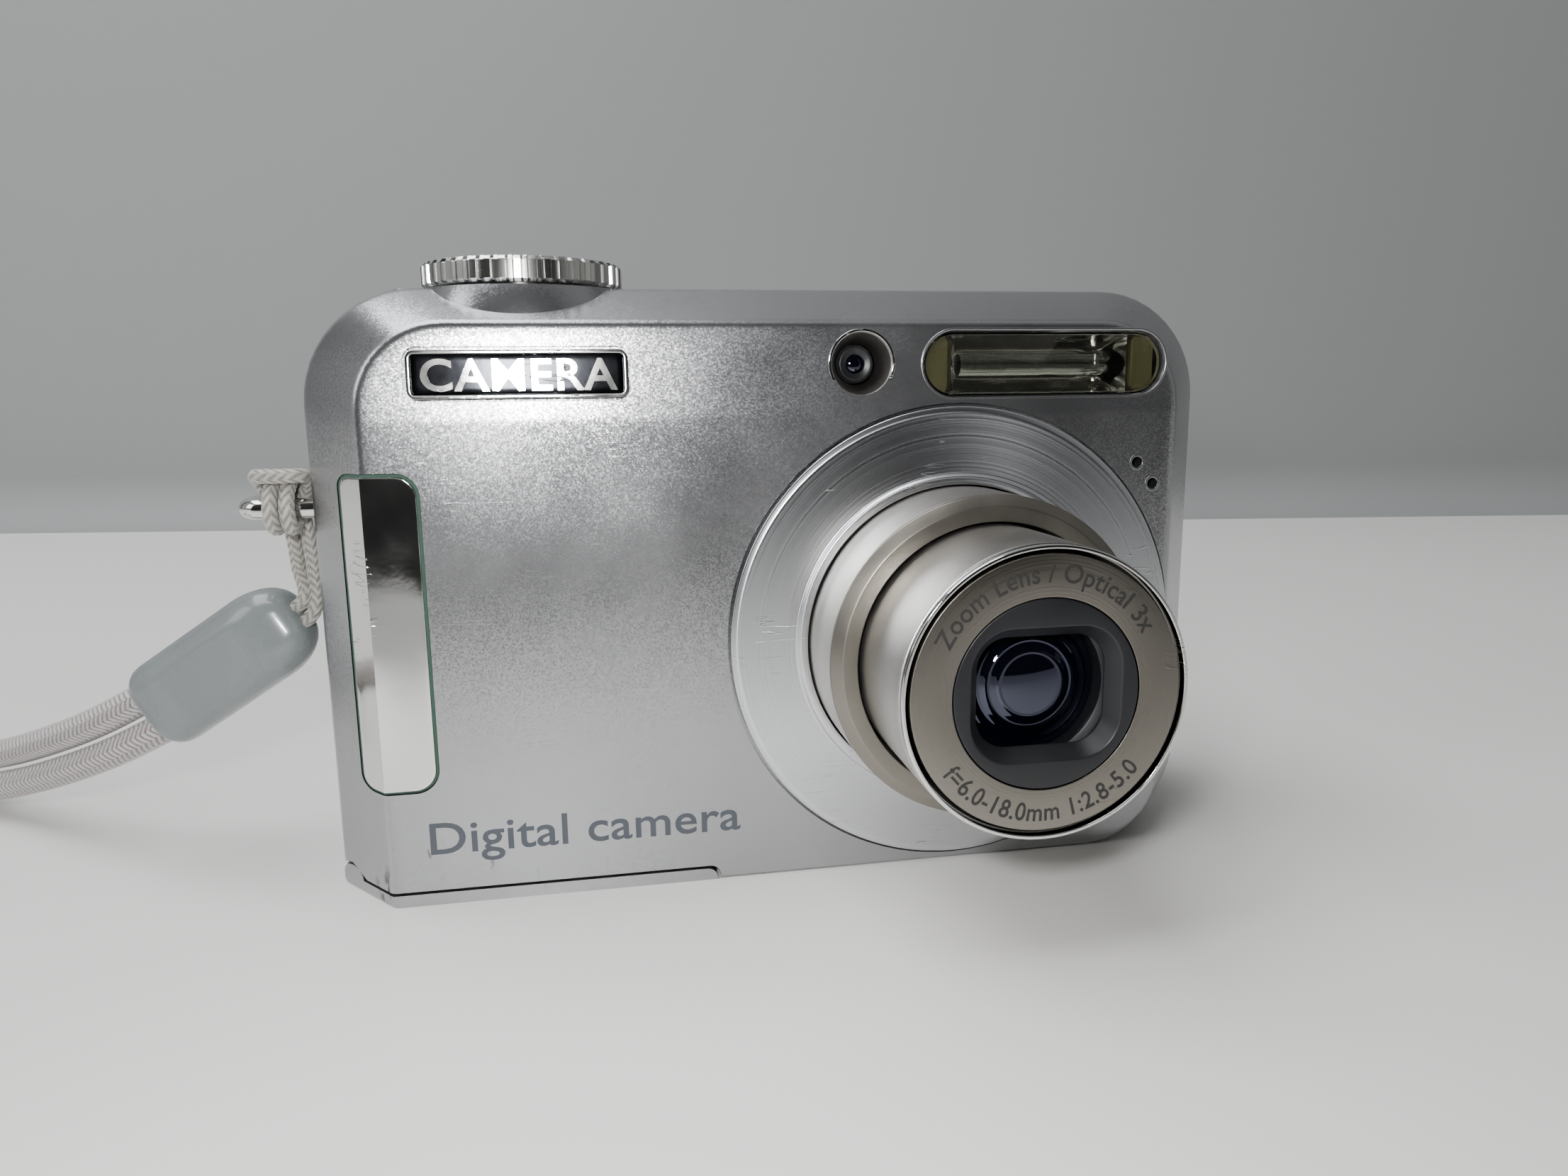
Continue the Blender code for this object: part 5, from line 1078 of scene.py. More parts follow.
class CAMERA_OT_barrels(bpy.types.Operator):
    """Both barrels, and the name ring with its lettering."""
    bl_idname = "camera_parts.barrels"
    bl_label = "Lens barrels"

    def execute(self, context):
        low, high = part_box("barrel_outer")
        outer, bore, bevel = high.x - LENS[0], 0.0128, 0.0008
        profile = ((bore + 0.0004, low.y + 0.0012), (outer - 0.0004, low.y + 0.0012), (outer, low.y + 0.0012),
                   (outer, high.y), (bore, high.y), (bore, low.y + 0.0012))
        made = turned_piece("outer_barrel_sleeve", profile, "satin", 0.00004)
        settle(made, "outer_barrel", "satin_barrel", "barrel_outer")
        profile = ((bore, low.y), (outer - bevel - 0.0002, low.y), (outer, low.y + 0.0007),
                   (outer, low.y + 0.00115),
                   (bore, low.y + 0.00115))
        made = turned_piece("outer_barrel_face", profile, "bronze", 0.0001)
        settle(made, "outer_barrel", "satin_barrel")
        low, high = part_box("barrel_inner")
        outer = high.x - LENS[0]
        bore = outer - 0.0005
        profile = ((bore, low.y + 0.0010), (outer, low.y + 0.0010), (outer, high.y), (bore, high.y))
        made = turned_piece("inner_barrel_sleeve", profile, "satin", 0.00006)
        settle(made, "inner_barrel", "satin_barrel", "barrel_inner")
        profile = ((bore + 0.00008, low.y), (outer - 0.00012, low.y), (outer - 0.00002, low.y + 0.0003),
                   (outer - 0.00002, low.y + 0.00085),
                   (bore + 0.00008, low.y + 0.00085))
        settle(turned_piece("inner_barrel_rim", profile, "chrome", 0.00009), "inner_barrel", "chrome")
        low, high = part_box("name_ring")
        outer = high.x - LENS[0]
        inner = 0.0083
        profile = ((inner - 0.0002, low.y), (outer - 0.00006, low.y), (outer, low.y + 0.0001),
                   (outer, high.y), (inner - 0.0002, high.y))
        made = turned_piece("name_ring_disc", profile, "name_ring", 0.00005, 192)
        settle(made, "inner_barrel", "dark_ring", "name_ring")
        height = context.scene.camera_sizes.letter_height
        for name, text, middle, base, up in (("ring_print_top", "Zoom Lens / Optical 3x", 92.0, 0.00935, 1),
                                             ("ring_print_base", "f=6.0-18.0mm 1:2.8-5.0", 268.0, 0.01078,
                                              -1)):
            points, faces = words(text, height * 1.42, 0.00001, 0.00002, 1.04)
            sweep_angle = points[:, 0] / (base + up * height / 2) * (0.98 if up > 0 else 0.86)
            angle = math.radians(middle) - up * sweep_angle
            radius = base + up * points[:, 1]
            bent = np.stack((LENS[0] + radius * np.cos(angle), low.y - 0.00002 - points[:, 2],
                             LENS[1] + radius * np.sin(angle)), -1)
            settle(piece(name, (bent, faces), FINISHES["ring_ink"]), "inner_barrel", "dark_ring")
        return {"FINISHED"}


class CAMERA_OT_optics(bpy.types.Operator):
    """Barrier cap with its tapered window, the lens elements and the baffles behind them."""
    bl_idname = "camera_parts.optics"
    bl_label = "Cap and glass"

    def execute(self, context):
        low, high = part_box("barrier_cap")
        window = evenly(rounded_rectangle(LENS, (0.0122, 0.0104), 0.0032, 16))
        angle = np.arctan2(window[:, 1] - LENS[1], window[:, 0] - LENS[0])
        rim = np.asarray(LENS) + 0.0080 * np.stack((np.cos(angle), np.sin(angle)), -1)

        def grown(extra):
            outline = rounded_rectangle(LENS, (0.0122 + extra, 0.0104 + extra), 0.0032 + extra / 2, 16)
            return evenly(outline)

        chain = np.stack([place("Y", rim, high.y - 0.0003), place("Y", rim, low.y),
                          place("Y", grown(0.0009), low.y),
                          place("Y", grown(-0.0011), low.y + 0.0014),
                          place("Y", grown(-0.0011), high.y - 0.0003)])
        made = piece("barrier_cap_moulding", loft(soften(chain, 0.00013), closed_rows=True),
                     FINISHES["black"])
        settle(made, "inner_barrel", "black_plastic", "barrier_cap")
        cell_low, cell_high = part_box("lens_cell")
        outer = cell_high.x - LENS[0]
        rows = ((0.0063, cell_low.y + 0.0004), (0.0070, cell_low.y + 0.0001), (0.0078, cell_low.y + 0.0001),
                (outer, cell_low.y + 0.0001), (outer, cell_high.y), (0.0063, cell_high.y))
        settle(turned_piece("lens_retainer", rows, "black", 0.0001, 96), "inner_barrel", "black_plastic",
               "lens_cell")
        glass_low, glass_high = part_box("front_lens")
        radius = glass_high.x - LENS[0]
        swell = np.linspace(0.0, 1.0, 61)
        ridges = sum(np.exp(-((swell - at) / 0.016) ** 2) for at in (0.46, 0.62, 0.76, 0.88))
        face = np.stack((radius * swell, glass_low.y + 0.0014 * swell ** 2 - 0.00007 * ridges), -1)
        back = np.array(((radius * 0.9, glass_low.y + 0.0028), (0.0, glass_low.y + 0.0028)))
        lens = piece("front_element", turn(np.concatenate((face, back)), "Y", LENS, 96, False),
                     FINISHES["lens_glass"])
        settle(lens, "inner_barrel", "coated_glass", "front_lens")
        steps = [(radius, cell_high.y - 0.0006)]
        for index in range(4):
            inner = radius - 0.0008 * (index + 1)
            at = cell_high.y - 0.0004 + 0.0011 * index
            steps += [(inner + 0.0001, at), (inner, at + 0.0009)]
        funnel = steps + [(0.0, steps[-1][1]), (0.0, steps[-1][1] + 0.0004),
                          (radius + 0.0004, steps[-1][1] + 0.0004),
                          (radius + 0.0004, cell_high.y - 0.0006)]
        made = piece("lens_baffle", turn(turned_edge(funnel, 0.00008, False), "Y", LENS, 96, False),
                     FINISHES["black"])
        settle(made, "inner_barrel", "black_plastic")
        deep = steps[-1][1]
        swell = np.linspace(0.0, 1.0, 15)
        second = np.stack((0.0029 * swell, deep - 0.0001 - 0.0011 * (1 - swell ** 2)), -1)
        second = np.concatenate((second, ((0.0029, deep - 0.00005), (0.0, deep - 0.00005))))
        made = piece("second_element", turn(second, "Y", LENS, 64, False), FINISHES["lens_glass"])
        settle(made, "inner_barrel", "coated_glass")
        paint_nodes(FINISHES["black"], "barrier_blade_upper", "barrier_blade_lower")
        return {"FINISHED"}


# ---------------------------------------------------------------- top controls

class CAMERA_OT_dial(bpy.types.Operator):
    """Fluted dial, whose radius has a groove term in the angle, its shutter button, and the power key."""
    bl_idname = "camera_parts.dial"
    bl_label = "Dial and top keys"

    def execute(self, context):
        sizes = context.scene.camera_sizes
        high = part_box("mode_dial")[1]
        base = TOP + GAP
        outer = high.x - DIAL[0]
        columns = sizes.flutes * 14
        angle = np.arange(columns) * 2 * np.pi / columns
        groove = np.clip(0.25 - 1.25 * np.cos(angle * sizes.flutes), 0.0, 1.0) ** 0.7
        levels = soften(((0.0049, base - 0.0010, 0.0), (0.0058, base - 0.0010, 0.0), (0.0058, base, 0.0),
                         (outer - 0.0003, base, 0.9), (outer, base + 0.0003, 1.0),
                         (outer, high.z - 0.0004, 1.0),
                         (outer - 0.0003, high.z - 0.0001, 0.8), (outer - 0.0008, high.z, 0.0),
                         (outer - 0.0013, high.z - 0.0001, 0.0), (0.0055, high.z - 0.0001, 0.0),
                         (0.0049, high.z - 0.0002, 0.0)),
                        0.00012)
        radius = levels[:, :1] - 0.00048 * levels[:, 2:] * groove
        ring = np.stack((radius * np.cos(angle), radius * np.sin(angle)), -1) + np.asarray(DIAL)
        made = piece("dial_wheel", loft(place("Z", ring, levels[:, 1:2]), closed_rows=True),
                     FINISHES["dial"], 28.0)
        settle(made, "dial", "chrome", "mode_dial")
        marks = []
        for index in range(8):
            turn_to = math.radians(20 + 45 * index)
            dash = rounded_rectangle((0.0074, 0.0), (0.0011, 0.00034 + 0.0002 * (index % 3)), 0.00014, 3)
            spun = np.stack((dash[:, 0] * math.cos(turn_to) - dash[:, 1] * math.sin(turn_to),
                             dash[:, 0] * math.sin(turn_to) + dash[:, 1] * math.cos(turn_to)),
                             -1) + np.asarray(DIAL)
            marks.append(outline_cutter(spun, high.z - 0.00009, high.z - 0.00005, "Z"))
        settle(piece("dial_marks", gather(*marks), FINISHES["ink"]), "dial", "chrome")
        shutter_low, shutter_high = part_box("shutter_button")
        r = shutter_high.x - DIAL[0]
        dome = np.linspace(0.0, 1.0, 12)
        crown = np.stack((r * 0.96 * dome, shutter_high.z - 0.0006 * dome ** 3 - 0.0002 * (1 - dome) ** 2),
                         -1)
        profile = np.concatenate((crown, ((r, shutter_high.z - 0.0011), (r, shutter_high.z - 0.0019),
                                          (0.0021, shutter_high.z - 0.0019),
                                          (0.0021, shutter_low.z), (0.0, shutter_low.z))))
        made = turned_piece("shutter_key", profile, "keys", 0.0001, 72, False, DIAL, "Z")
        settle(made, "shutter", "chrome", "shutter_button")
        power_low, power_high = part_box("power_button")
        centre = node_centre("power_button", "Z")
        r = power_high.x - centre[0]
        profile = ((0.0, power_high.z - 0.0001), (r * 0.55, power_high.z - 0.00005),
                   (r - 0.0002, power_high.z), (r, power_high.z - 0.0003),
                   (r, power_low.z), (0.0, power_low.z))
        made = turned_piece("power_key", profile, "dial", 0.00018, 56, False, centre, "Z")
        settle(made, "power", "chrome", "power_button")
        light = turn(turned_edge(((0.0, TOP + 0.00015), (0.0005, TOP + 0.0001), (0.0005, TOP - 0.0004),
                                  (0.0, TOP - 0.0004)), 0.0001, False),
                     "Z", (centre[0] + 0.0042, centre[1]), 24, False)
        settle(piece("power_light", light, FINISHES["lamp_glass"]), "camera_body", "clear_plastic")
        for name, text, x, y in (("top_print_power", "ON/OFF", centre[0], centre[1] + 0.0034),
                                 ("top_print_index", "I", DIAL[0] + 0.0112, DIAL[1])):
            points, faces = words(text, 0.0013, 0.00001)
            flat = np.stack((x + points[:, 0], y + points[:, 1], TOP + 0.00002 + points[:, 2]), -1)
            settle(piece(name, (flat, faces), FINISHES["ink"]), "camera_body", "silver_paint")
        return {"FINISHED"}


# ---------------------------------------------------------------- rear

class CAMERA_OT_rear_controls(bpy.types.Operator):
    """Screen, three round keys, four-way pad with its centre key, and the zoom rocker."""
    bl_idname = "camera_parts.rear_controls"
    bl_label = "Rear controls"

    def execute(self, context):
        low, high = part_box("lcd_window")
        centre, size = node_centre("lcd_window", "Y"), np.array((high.x - low.x, high.z - low.z))

        def section(inset):
            return rounded_rectangle(centre, size - 2 * inset, max(0.0016 - inset, 0.0004), 8)

        window = stack(section, ((low.y, 0.0), (high.y, 0.0), (high.y, 0.0020)), "Y", 0.0002)
        settle(piece("screen_glass", window, FINISHES["screen_glass"]), "camera_body", "coated_glass",
               "lcd_window")
        panel = stack(lambda inset: rounded_rectangle(centre, size - 0.0070 - 2 * inset, 0.0004, 4),
                      ((high.y - 0.0001, 0.0), (high.y + 0.00003, 0.0), (high.y + 0.00003, 0.0002)), "Y",
                      0.00002)
        settle(piece("screen_picture_area", panel, FINISHES["picture"]), "camera_body", "coated_glass")
        for name, body, label in (("menu_button", "menu", "MENU"), ("play_button", "play", "PLAY"),
                                  ("delete_button", "delete", "DEL")):
            low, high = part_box(name)
            spot = node_centre(name, "Y")
            r = high.x - spot[0]
            profile = ((0.0, high.y - 0.00012), (r * 0.6, high.y - 0.00005), (r - 0.0003, high.y),
                       (r, high.y - 0.0003), (r, low.y), (0.0, low.y))
            made = turned_piece(f"{body}_key", profile, "keys", 0.0002, 56, False, spot)
            settle(made, body, "satin_barrel", name)
            points, faces = words(label, 0.0015, 0.00001)
            flat = np.stack((spot[0] - points[:, 0], REAR + 0.00002 + points[:, 2],
                             spot[1] + 0.0033 + points[:, 1]), -1)
            settle(piece(f"{body}_legend", (flat, faces), FINISHES["ink"]), "camera_body", "rear_plastic")
        low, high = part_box("control_pad")
        r = high.x - PAD[0]
        profile = ((0.0043, low.y), (r, low.y), (r, high.y - 0.0007), (r - 0.0008, high.y),
                   (0.0060, high.y - 0.0004),
                   (0.0048, high.y - 0.0004), (0.0043, high.y - 0.0006))
        settle(turned_piece("four_way_pad", profile, "keys", 0.0002, 96, True, PAD), "pad", "satin_barrel",
               "control_pad")
        arrows = []
        for index in range(4):
            way = math.radians(90 * index)
            tip = np.array(((0.0073, 0.0), (0.0064, 0.0007), (0.0064, -0.0007)))
            spun = np.stack((PAD[0] + tip[:, 0] * math.cos(way) - tip[:, 1] * math.sin(way),
                             PAD[1] + tip[:, 0] * math.sin(way) + tip[:, 1] * math.cos(way)), -1)
            arrows.append(outline_cutter(spun, high.y - 0.00035, high.y - 0.00005))
        settle(piece("pad_arrows", gather(*arrows), FINISHES["ink"]), "pad", "satin_barrel")
        low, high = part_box("centre_button")
        r = high.x - PAD[0]
        profile = ((0.0, high.y - 0.0003), (r * 0.7, high.y - 0.0002), (r - 0.0003, high.y),
                   (r, high.y - 0.0004), (r, low.y), (0.0, low.y))
        settle(turned_piece("set_key", profile, "keys", 0.0002, 56, False, PAD), "centre", "satin_barrel",
               "centre_button")
        low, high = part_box("zoom_rocker")
        spot, size = node_centre("zoom_rocker", "Y"), np.array((high.x - low.x, high.z - low.z))
        rows = stack(lambda inset: rounded_rectangle(spot, size - 2 * inset, max(0.0019 - inset, 0.0003), 10),
                     ((low.y, 0.0), (high.y - 0.0003, 0.0), (high.y - 0.0003, 0.0010)), "Y", 0.0003)
        points = rows[0]
        away = (points[:, 0] - spot[0]) / (size[0] / 2)
        points[:, 1] += np.where(points[:, 1] > high.y - 0.0008, 0.0003 * away ** 2, 0.0)
        settle(piece("zoom_key", rows, FINISHES["keys"]), "rocker", "satin_barrel", "zoom_rocker")
        for letter, side in (("W", 1), ("T", -1)):
            mark, faces = words(letter, 0.0019, 0.00001)
            flat = np.stack((spot[0] + side * 0.0045 - mark[:, 0], high.y + 0.00002 + mark[:, 2] - 0.00012,
                             spot[1] - 0.0007 + mark[:, 1]), -1)
            settle(piece(f"zoom_letter_{letter.lower()}", (flat, faces), FINISHES["ink"]), "rocker",
                   "satin_barrel")
        return {"FINISHED"}


class CAMERA_OT_inner_works(bpy.types.Operator):
    """Finishes of the inner parts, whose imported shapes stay."""
    bl_idname = "camera_parts.inner_works"
    bl_label = "Inner works"

    def execute(self, context):
        paint_nodes(FINISHES["black"], "lens_base", "cam_ring", "focus_carrier", "battery_cradle",
                    "memory_card", "lcd_panel")
        paint_nodes(FINISHES["lens_glass"], "focus_lens", "image_sensor")
        paint_nodes(FINISHES["board"], "main_board", "button_board")
        paint_nodes(FINISHES["brass"], "contact_strip", "tripod_socket", "motor_pinion")
        paint_nodes(FINISHES["cell"], "battery_1", "battery_2", "flash_capacitor")
        paint_nodes(FINISHES["steel"], "card_slot", "jack_socket", "zoom_motor", "door_hinge_pin")
        paint_nodes(FINISHES["nylon"], "idler_gear", "pad_gimbal")
        paint_nodes(FINISHES["chrome"], "base_screw_1", "base_screw_2")
        return {"FINISHED"}


# ---------------------------------------------------------------- strap

BEAD_TOP = np.array((-0.0487, FRONT + 0.0120, 0.0272))
BEAD_AXIS = np.array((-0.800, 0.280, -0.530)) / np.linalg.norm((-0.800, 0.280, -0.530))
BEAD_FACING = np.array((0.10, -0.97, 0.20))
BEAD_ACROSS = np.cross(BEAD_AXIS, BEAD_FACING) / np.linalg.norm(np.cross(BEAD_AXIS, BEAD_FACING))
BEAD_UP = np.cross(BEAD_ACROSS, BEAD_AXIS)
BEAD_LENGTH, BEAD_WIDTH, BEAD_THICKNESS = 0.0195, 0.0094, 0.0070
THIN_RADIUS, THICK_RADIUS = 0.00068, 0.0016


def bead_point(along, across=0.0, lift=0.0):
    return BEAD_TOP + BEAD_AXIS * along + BEAD_ACROSS * across + BEAD_UP * lift


def around_lug(x, angle, radius):
    """Point beside the lug's front leg; the angle is 0 in front of it and 90 above it."""
    y, z = lug_axis()
    return np.array((x, y - radius * math.cos(math.radians(angle)),
                     z + radius * math.sin(math.radians(angle))))


def thin_route():
    """Tail, girth hitch round the lug, and the second tail back to the bead."""
    turns = ((0.0, 180, 0.0034), (0.0, 145, 0.0033), (0.0, 112, 0.0028), (0.0, 80, 0.0022),
             (0.0, 45, 0.00195), (0.0, 0, 0.00193), (0.0, -50, 0.00193), (0.0, -100, 0.00193),
             (0.0, -150, 0.00193), (0.0003, -190, 0.00195), (0.0009, -216, 0.0021),
             (0.0013, -241, 0.0025), (0.00135, -266, 0.0030), (0.0010, -290, 0.0034))
    right_x, left_x = -0.0478, -0.0493
    first = [around_lug(right_x + shift, angle, radius) for shift, angle, radius in turns]
    second = [around_lug(left_x - shift, angle, radius) for shift, angle, radius in turns][::-1]
    tail_a = [bead_point(0.0040, -0.0008), bead_point(-0.0012, -0.0008),
              np.array((-0.0471, FRONT + 0.0125, 0.0315)),
              np.array((-0.0474, FRONT + 0.0127, 0.0350))]
    tail_b = [np.array((-0.0489, FRONT + 0.0129, 0.0350)), np.array((-0.0487, FRONT + 0.0131, 0.0318)),
              bead_point(-0.0012, 0.0008), bead_point(0.0040, 0.0008)]
    bight = [around_lug((right_x + left_x) / 2, 64, 0.00355)]
    return tail_a + first + bight + second + tail_b


THICK_CENTRE = (
    (-0.0760, 0.0245, 0.0108), (-0.0900, 0.0345, 0.0056), (-0.1030, 0.0425, 0.0037),
    (-0.1150, 0.0440, 0.0024), (-0.1230, 0.0365, 0.0021), (-0.1225, 0.0260, 0.0021),
    (-0.1150, 0.0180, 0.0021), (-0.1050, 0.0135, 0.0021), (-0.0950, 0.0110, 0.0021))
STRAND_HALF = THICK_RADIUS + 0.00025
BEND_HALF = 0.0066
STACKED_SHARE = 0.33
LEVEL_SHARE = 0.50


def thick_route():
    """Both strands of the loop: out along one side of the centre line and back along the other.

    They leave the bead one above the other, then lie down side by side and part at the loop's end.
    """
    centre = [bead_point(BEAD_LENGTH * 0.62), bead_point(BEAD_LENGTH * 1.05)]
    centre += [np.array((x, FRONT + y, z)) for x, y, z in THICK_CENTRE]
    line = spline(centre, 0.003)
    upward = np.array((-0.10, 0.25, 0.96)) / np.linalg.norm((-0.10, 0.25, 0.96))
    share = np.linspace(0.0, 1.0, len(line))[:, None]
    ahead = np.gradient(line, axis=0)
    ahead /= np.linalg.norm(ahead, axis=1, keepdims=True)
    level = np.cross(ahead, (0.0, 0.0, 1.0))
    level /= np.linalg.norm(level, axis=1, keepdims=True)
    stacked = np.minimum(1.0, share / STACKED_SHARE)
    laid = np.clip((share - STACKED_SHARE) / (LEVEL_SHARE - STACKED_SHARE), 0.0, 1.0)
    lean = (BEAD_ACROSS * (1 - stacked) + upward * stacked) * (1 - laid) + level * laid
    lean /= np.linalg.norm(lean, axis=1, keepdims=True)
    half = STRAND_HALF + (BEND_HALF - STRAND_HALF) * np.maximum(0.0, 3.0 * share - 2.0)
    turn_by = np.radians((30, 60, 90, 120, 150))[:, None]
    bend = line[-1] + BEND_HALF * (ahead[-1] * np.sin(turn_by) + level[-1] * np.cos(turn_by))
    return np.concatenate((line + lean * half, bend, (line - lean * half)[::-1]))


def braid(path, radius, bands, pitch, sides, relief):
    """Cord with a braided surface.

    Around the cord, the yarns of one band lean one way and those of the next the other, so the phase
    is distance / pitch plus or minus the place in the band. The yarn's height is the sine of that
    phase, and it lifts the radius by the relief.
    """
    run = np.concatenate(([0.0], np.cumsum(np.linalg.norm(np.diff(path, axis=0), axis=1))))[:, None]
    around = (np.arange(sides) / sides * bands)[None, :]
    inside = around - np.floor(around)
    way = np.where(np.floor(around) % 2 == 0, 1.0, -1.0)
    phase = run / pitch + way * inside * 0.9
    yarn = np.abs(np.sin(np.pi * phase))
    # The shade is painted light: bright where the yarn lies high, dark in the dips between yarns, and 0.12
    # darker on one lean of the herringbone
    shade = np.clip(0.08 + 0.95 * yarn ** 1.3 - 0.12 * (way > 0), 0.0, 1.0)
    points = sweep(path, radius * (1.0 + relief * (yarn - 0.5)), sides)
    return loft(points), shade


class CAMERA_OT_strap(bpy.types.Operator):
    """Lug bar, knotted thin cord, moulded bead and the braided wrist loop."""
    bl_idname = "camera_parts.strap"
    bl_label = "Wrist strap"

    def execute(self, context):
        low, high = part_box("strap_lug")
        z = lug_axis()[1]
        inner = LEFT + WALL - 0.0003
        outline = np.array(((inner, low.y + 0.0010, z), (low.x + 0.0010, low.y + 0.0010, z),
                            (low.x + 0.0010, high.y - 0.0010, z), (inner, high.y - 0.0010, z)))
        bar = sweep(soften(outline, 0.0019, False, 10), 0.0010, 28)
        settle(piece("lug_bar", loft(bar), FINISHES["chrome"]), "camera_body", "chrome", "strap_lug")
        bead = self.make_bead()
        thin_path = spline(thin_route(), 0.00016)
        shape, shade = braid(thin_path, THIN_RADIUS, 6, 0.00085, 24, 0.16)
        thin = piece("thin_cord", shape, FINISHES["thin_cord"], 80.0, values=shade)
        settle(thin, "camera_body", "cord_braid", "strap_cord")
        thick_path = spline(thick_route(), 0.00020)
        shape, shade = braid(thick_path, THICK_RADIUS, 10, 0.00080, 60, 0.12)
        thick = piece("wrist_loop", shape, FINISHES["cord"], 80.0, values=shade)
        settle(thick, "camera_body", "cord_braid", "strap_loop")
        return {"FINISHED"}

    def make_bead(self):
        """Rounded rectangles along the axis, domed at the top, with a shallow slot in the broad face."""
        angle = np.radians(np.linspace(2.0, 90.0, 18))
        dome = 0.0052
        along = np.concatenate((dome * (1 - np.cos(angle)), np.linspace(dome, BEAD_LENGTH - 0.0012, 22)[1:],
                                BEAD_LENGTH - 0.0012 + 0.0012 * np.sin(np.radians((30, 60, 75, 90)))))
        share = np.concatenate((np.sin(angle), np.ones(21),
                                1 - 0.16 * (1 - np.cos(np.radians((30, 60, 75, 90))))))
        rows = []
        for place_along, part in zip(along, share):
            width = BEAD_WIDTH * (0.34 + 0.66 * part)
            thick = BEAD_THICKNESS * (0.30 + 0.70 * part)
            ring = rounded_rectangle((0.0, 0.0), (width, thick), 0.46 * min(width, thick), 14)
            slot_x = (place_along - 0.0105) / 0.0050
            reach = np.sqrt(np.maximum(0.0, ring[:, 0] ** 2)) / 0.0019
            inside = np.maximum(np.abs(slot_x), 0.0) ** 6 + reach ** 4
            dent = 0.00016 / (1.0 + np.exp(np.minimum((inside - 1.0) * 9.0, 40.0))) * (ring[:,
                                                                                            1] > thick * 0.40)
            rows.append(BEAD_TOP + BEAD_AXIS * place_along + ring[:, :1] * BEAD_ACROSS
                        + (ring[:, 1:] - dent[:, None]) * BEAD_UP)
        for share_in, back in ((0.70, 0.0), (0.62, -0.0008), (0.60, -0.0040)):
            ring = rounded_rectangle((0.0, 0.0), (BEAD_WIDTH * share_in + 0.0016, BEAD_THICKNESS * share_in),
                                     0.0019, 14)
            rows.append(BEAD_TOP + BEAD_AXIS * (BEAD_LENGTH + back) + ring[:, :1] * BEAD_ACROSS + ring[:, 1:]
                        * BEAD_UP)
        made = piece("moulded_bead", loft(np.array(rows)), FINISHES["bead"], 50.0)
        return settle(made, "camera_body", "bead_plastic", "strap_bead")


# ---------------------------------------------------------------- stage

EYE = np.array((-0.01939, -0.11395, 0.04829))
YAW, PITCH, ROLL = 0.18, 0.18, -0.012


def view_matrix():
    """Camera frame from yaw to the right, pitch down and roll."""
    ahead = np.array((math.sin(YAW) * math.cos(PITCH), math.cos(YAW) * math.cos(PITCH), -math.sin(PITCH)))
    right = np.array((math.cos(YAW), -math.sin(YAW), 0.0))
    up = np.cross(right, ahead)
    rolled_right = math.cos(ROLL) * right + math.sin(ROLL) * up
    rolled_up = math.cos(ROLL) * up - math.sin(ROLL) * right
    matrix = Matrix.Identity(4)
    for k, column in enumerate((rolled_right, rolled_up, -ahead, EYE)):
        for row in range(3):
            matrix[row][k] = column[row]
    return matrix


def plain(name, base, roughness, grain):
    """Plain studio surface with a faint texture."""
    made, tree, shader, coords = new_finish(name)
    texture = add(tree, "TexNoise", {"Vector": coords, "Scale": 1.0 / grain, "Detail": 3.0})
    feed(tree, shader, {
        "Base Color": tuple(base), "Roughness": roughness,
        "Normal": add(tree, "Bump", {"Height": texture, "Distance": grain * 0.05, "Strength": 0.3})})
    return made


def area_light(name, at, target, size, power, shade="#FFFFFF"):
    data = bpy.data.lights.new(name, "AREA")
    data.shape = "RECTANGLE"
    data.size, data.size_y = size
    data.energy = power
    data.color = linear(shade)[:3]
    made = bpy.data.objects.new(name, data)
    made.location = at
    made.rotation_euler = (Vector(target) - Vector(at)).to_track_quat("-Z", "Y").to_euler()
    made.visible_camera = False
    bpy.context.scene.collection.objects.link(made)
    return made


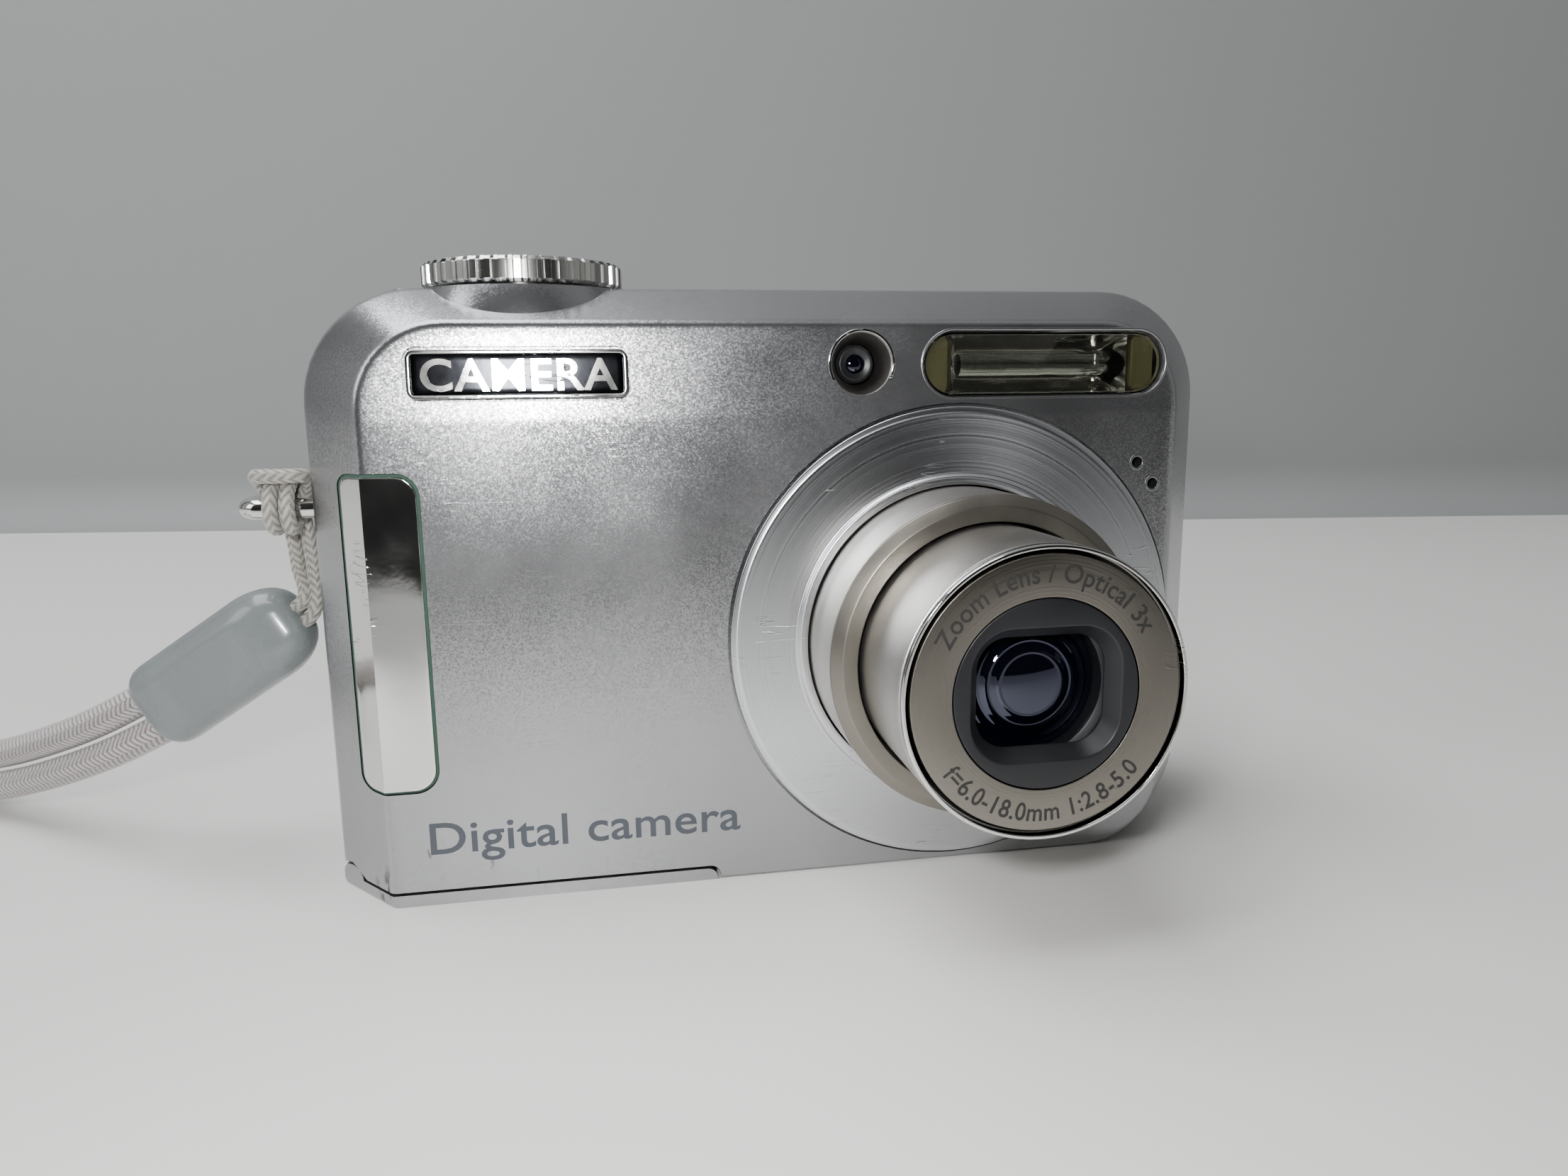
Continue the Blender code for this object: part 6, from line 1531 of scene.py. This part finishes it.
class CAMERA_OT_stage(bpy.types.Operator):
    """Table, wall, soft lights, a small light beside the viewpoint, and the camera."""
    bl_idname = "camera_parts.stage"
    bl_label = "Stage"

    def execute(self, context):
        colours = context.scene.camera_colours
        scene = context.scene
        data = bpy.data.cameras.new("viewpoint")
        data.sensor_width = 36.0
        data.lens = 36.0 * 1500 / 2212
        data.clip_start = 0.005
        camera = bpy.data.objects.new("viewpoint", data)
        camera.matrix_world = view_matrix()
        scene.collection.objects.link(camera)
        scene.camera = camera
        ahead = np.array((math.sin(YAW), math.cos(YAW), 0.0))
        right = np.array((math.cos(YAW), -math.sin(YAW), 0.0))
        wall_at = EYE * (1, 1, 0) + ahead * 0.42
        cove, tall, wide = 0.020, 1.2, 1.6
        t = np.linspace(0.0, np.pi / 2, 9)
        profile = np.concatenate((((-1.6, 0.0),), np.stack((-cove + cove * np.sin(t),
                                                            cove - cove * np.cos(t)), -1), ((0.0, tall),)))
        for name, part, finish in (("table", profile[:2],
                                    plain("matt_table_top", colours.floor, 0.42, 0.0012)),
                                   ("wall", profile[1:], plain("matt_wall_paint", colours.wall, 0.6, 0.002))):
            rows = [wall_at + ahead * step + np.array((0, 0, 1.0)) * up + right * side
                    for side in (-wide, wide) for step, up in part]
            count = len(part)
            faces = [[k, k + 1, count + k + 1, count + k] for k in range(count - 1)]
            made = piece(name, (np.array(rows), faces), finish)
        card_at = EYE * (1, 1, 0) - ahead * 0.06
        corners = [card_at + right * side + np.array((0.0, 0.0, up)) for side, up in
                   ((-0.22, 0.004), (0.22, 0.004), (0.22, 0.30), (-0.22, 0.30))]
        card = piece("dark_card", (np.array(corners), [[0, 1, 2, 3]]),
                     plain("black_card", linear("#0B0B0C"), 0.7, 0.002))
        card.visible_camera = False
        world = bpy.data.worlds.new("studio")
        world.use_nodes = True
        tree = world.node_tree
        toward = add(tree, "SeparateXYZ", (add(tree, "TexCoord", (), "Generated"),), "Y")
        room = add(tree, "MapRange", (toward, -0.85, 0.10, 0.16, 0.62))
        background = tree.nodes["Background"]
        background.inputs["Color"].default_value = linear("#CCCCCB")
        tree.links.new(room, background.inputs["Strength"])
        scene.world = world
        area_light("ceiling_panel", (-0.25, 0.05, 0.75), (0.0, 0.05, 0.0), (0.7, 0.5), 6.0, "#FBFBFF")
        area_light("left_window", (-0.75, -0.35, 0.45), (0.0, 0.0, 0.03), (0.5, 0.5), 2.6, "#FBFBFF")
        area_light("hand_flash", EYE + np.array((-0.0116, 0.0, 0.0157)), (-0.010, FRONT, 0.045),
                   (0.014, 0.010), 0.115, "#FFFFFF")
        return {"FINISHED"}


class CAMERA_PT_parts(bpy.types.Panel):
    """Sidebar list of the pieces, with their sizes and colours."""
    bl_label = "Pocket camera"
    bl_idname = "CAMERA_PT_parts"
    bl_space_type = "VIEW_3D"
    bl_region_type = "UI"
    bl_category = "Camera"

    def draw(self, context):
        for operator in OPERATORS:
            self.layout.operator(operator.bl_idname)
        for group in (context.scene.camera_sizes, context.scene.camera_colours):
            for name in group.__annotations__:
                self.layout.prop(group, name)


OPERATORS = (CAMERA_OT_front_shell, CAMERA_OT_rear_shell, CAMERA_OT_small_covers, CAMERA_OT_grip,
             CAMERA_OT_badge,
             CAMERA_OT_flash, CAMERA_OT_lamp, CAMERA_OT_lens_ring, CAMERA_OT_barrels, CAMERA_OT_optics,
             CAMERA_OT_dial,
             CAMERA_OT_rear_controls, CAMERA_OT_inner_works, CAMERA_OT_strap, CAMERA_OT_stage)
CLASSES = (CameraSizes, CameraColours) + OPERATORS + (CAMERA_PT_parts,)


def register():
    for each in CLASSES:
        bpy.utils.register_class(each)
    bpy.types.Scene.camera_sizes = PointerProperty(type=CameraSizes)
    bpy.types.Scene.camera_colours = PointerProperty(type=CameraColours)


def unregister():
    del bpy.types.Scene.camera_colours
    del bpy.types.Scene.camera_sizes
    for each in reversed(CLASSES):
        bpy.utils.unregister_class(each)


def main():
    register()
    scene = bpy.context.scene
    make_finishes(scene.camera_colours, scene.camera_sizes)
    for operator in OPERATORS:
        namespace, name = operator.bl_idname.split(".")
        getattr(getattr(bpy.ops, namespace), name)()


if __name__ == "__main__":
    main()
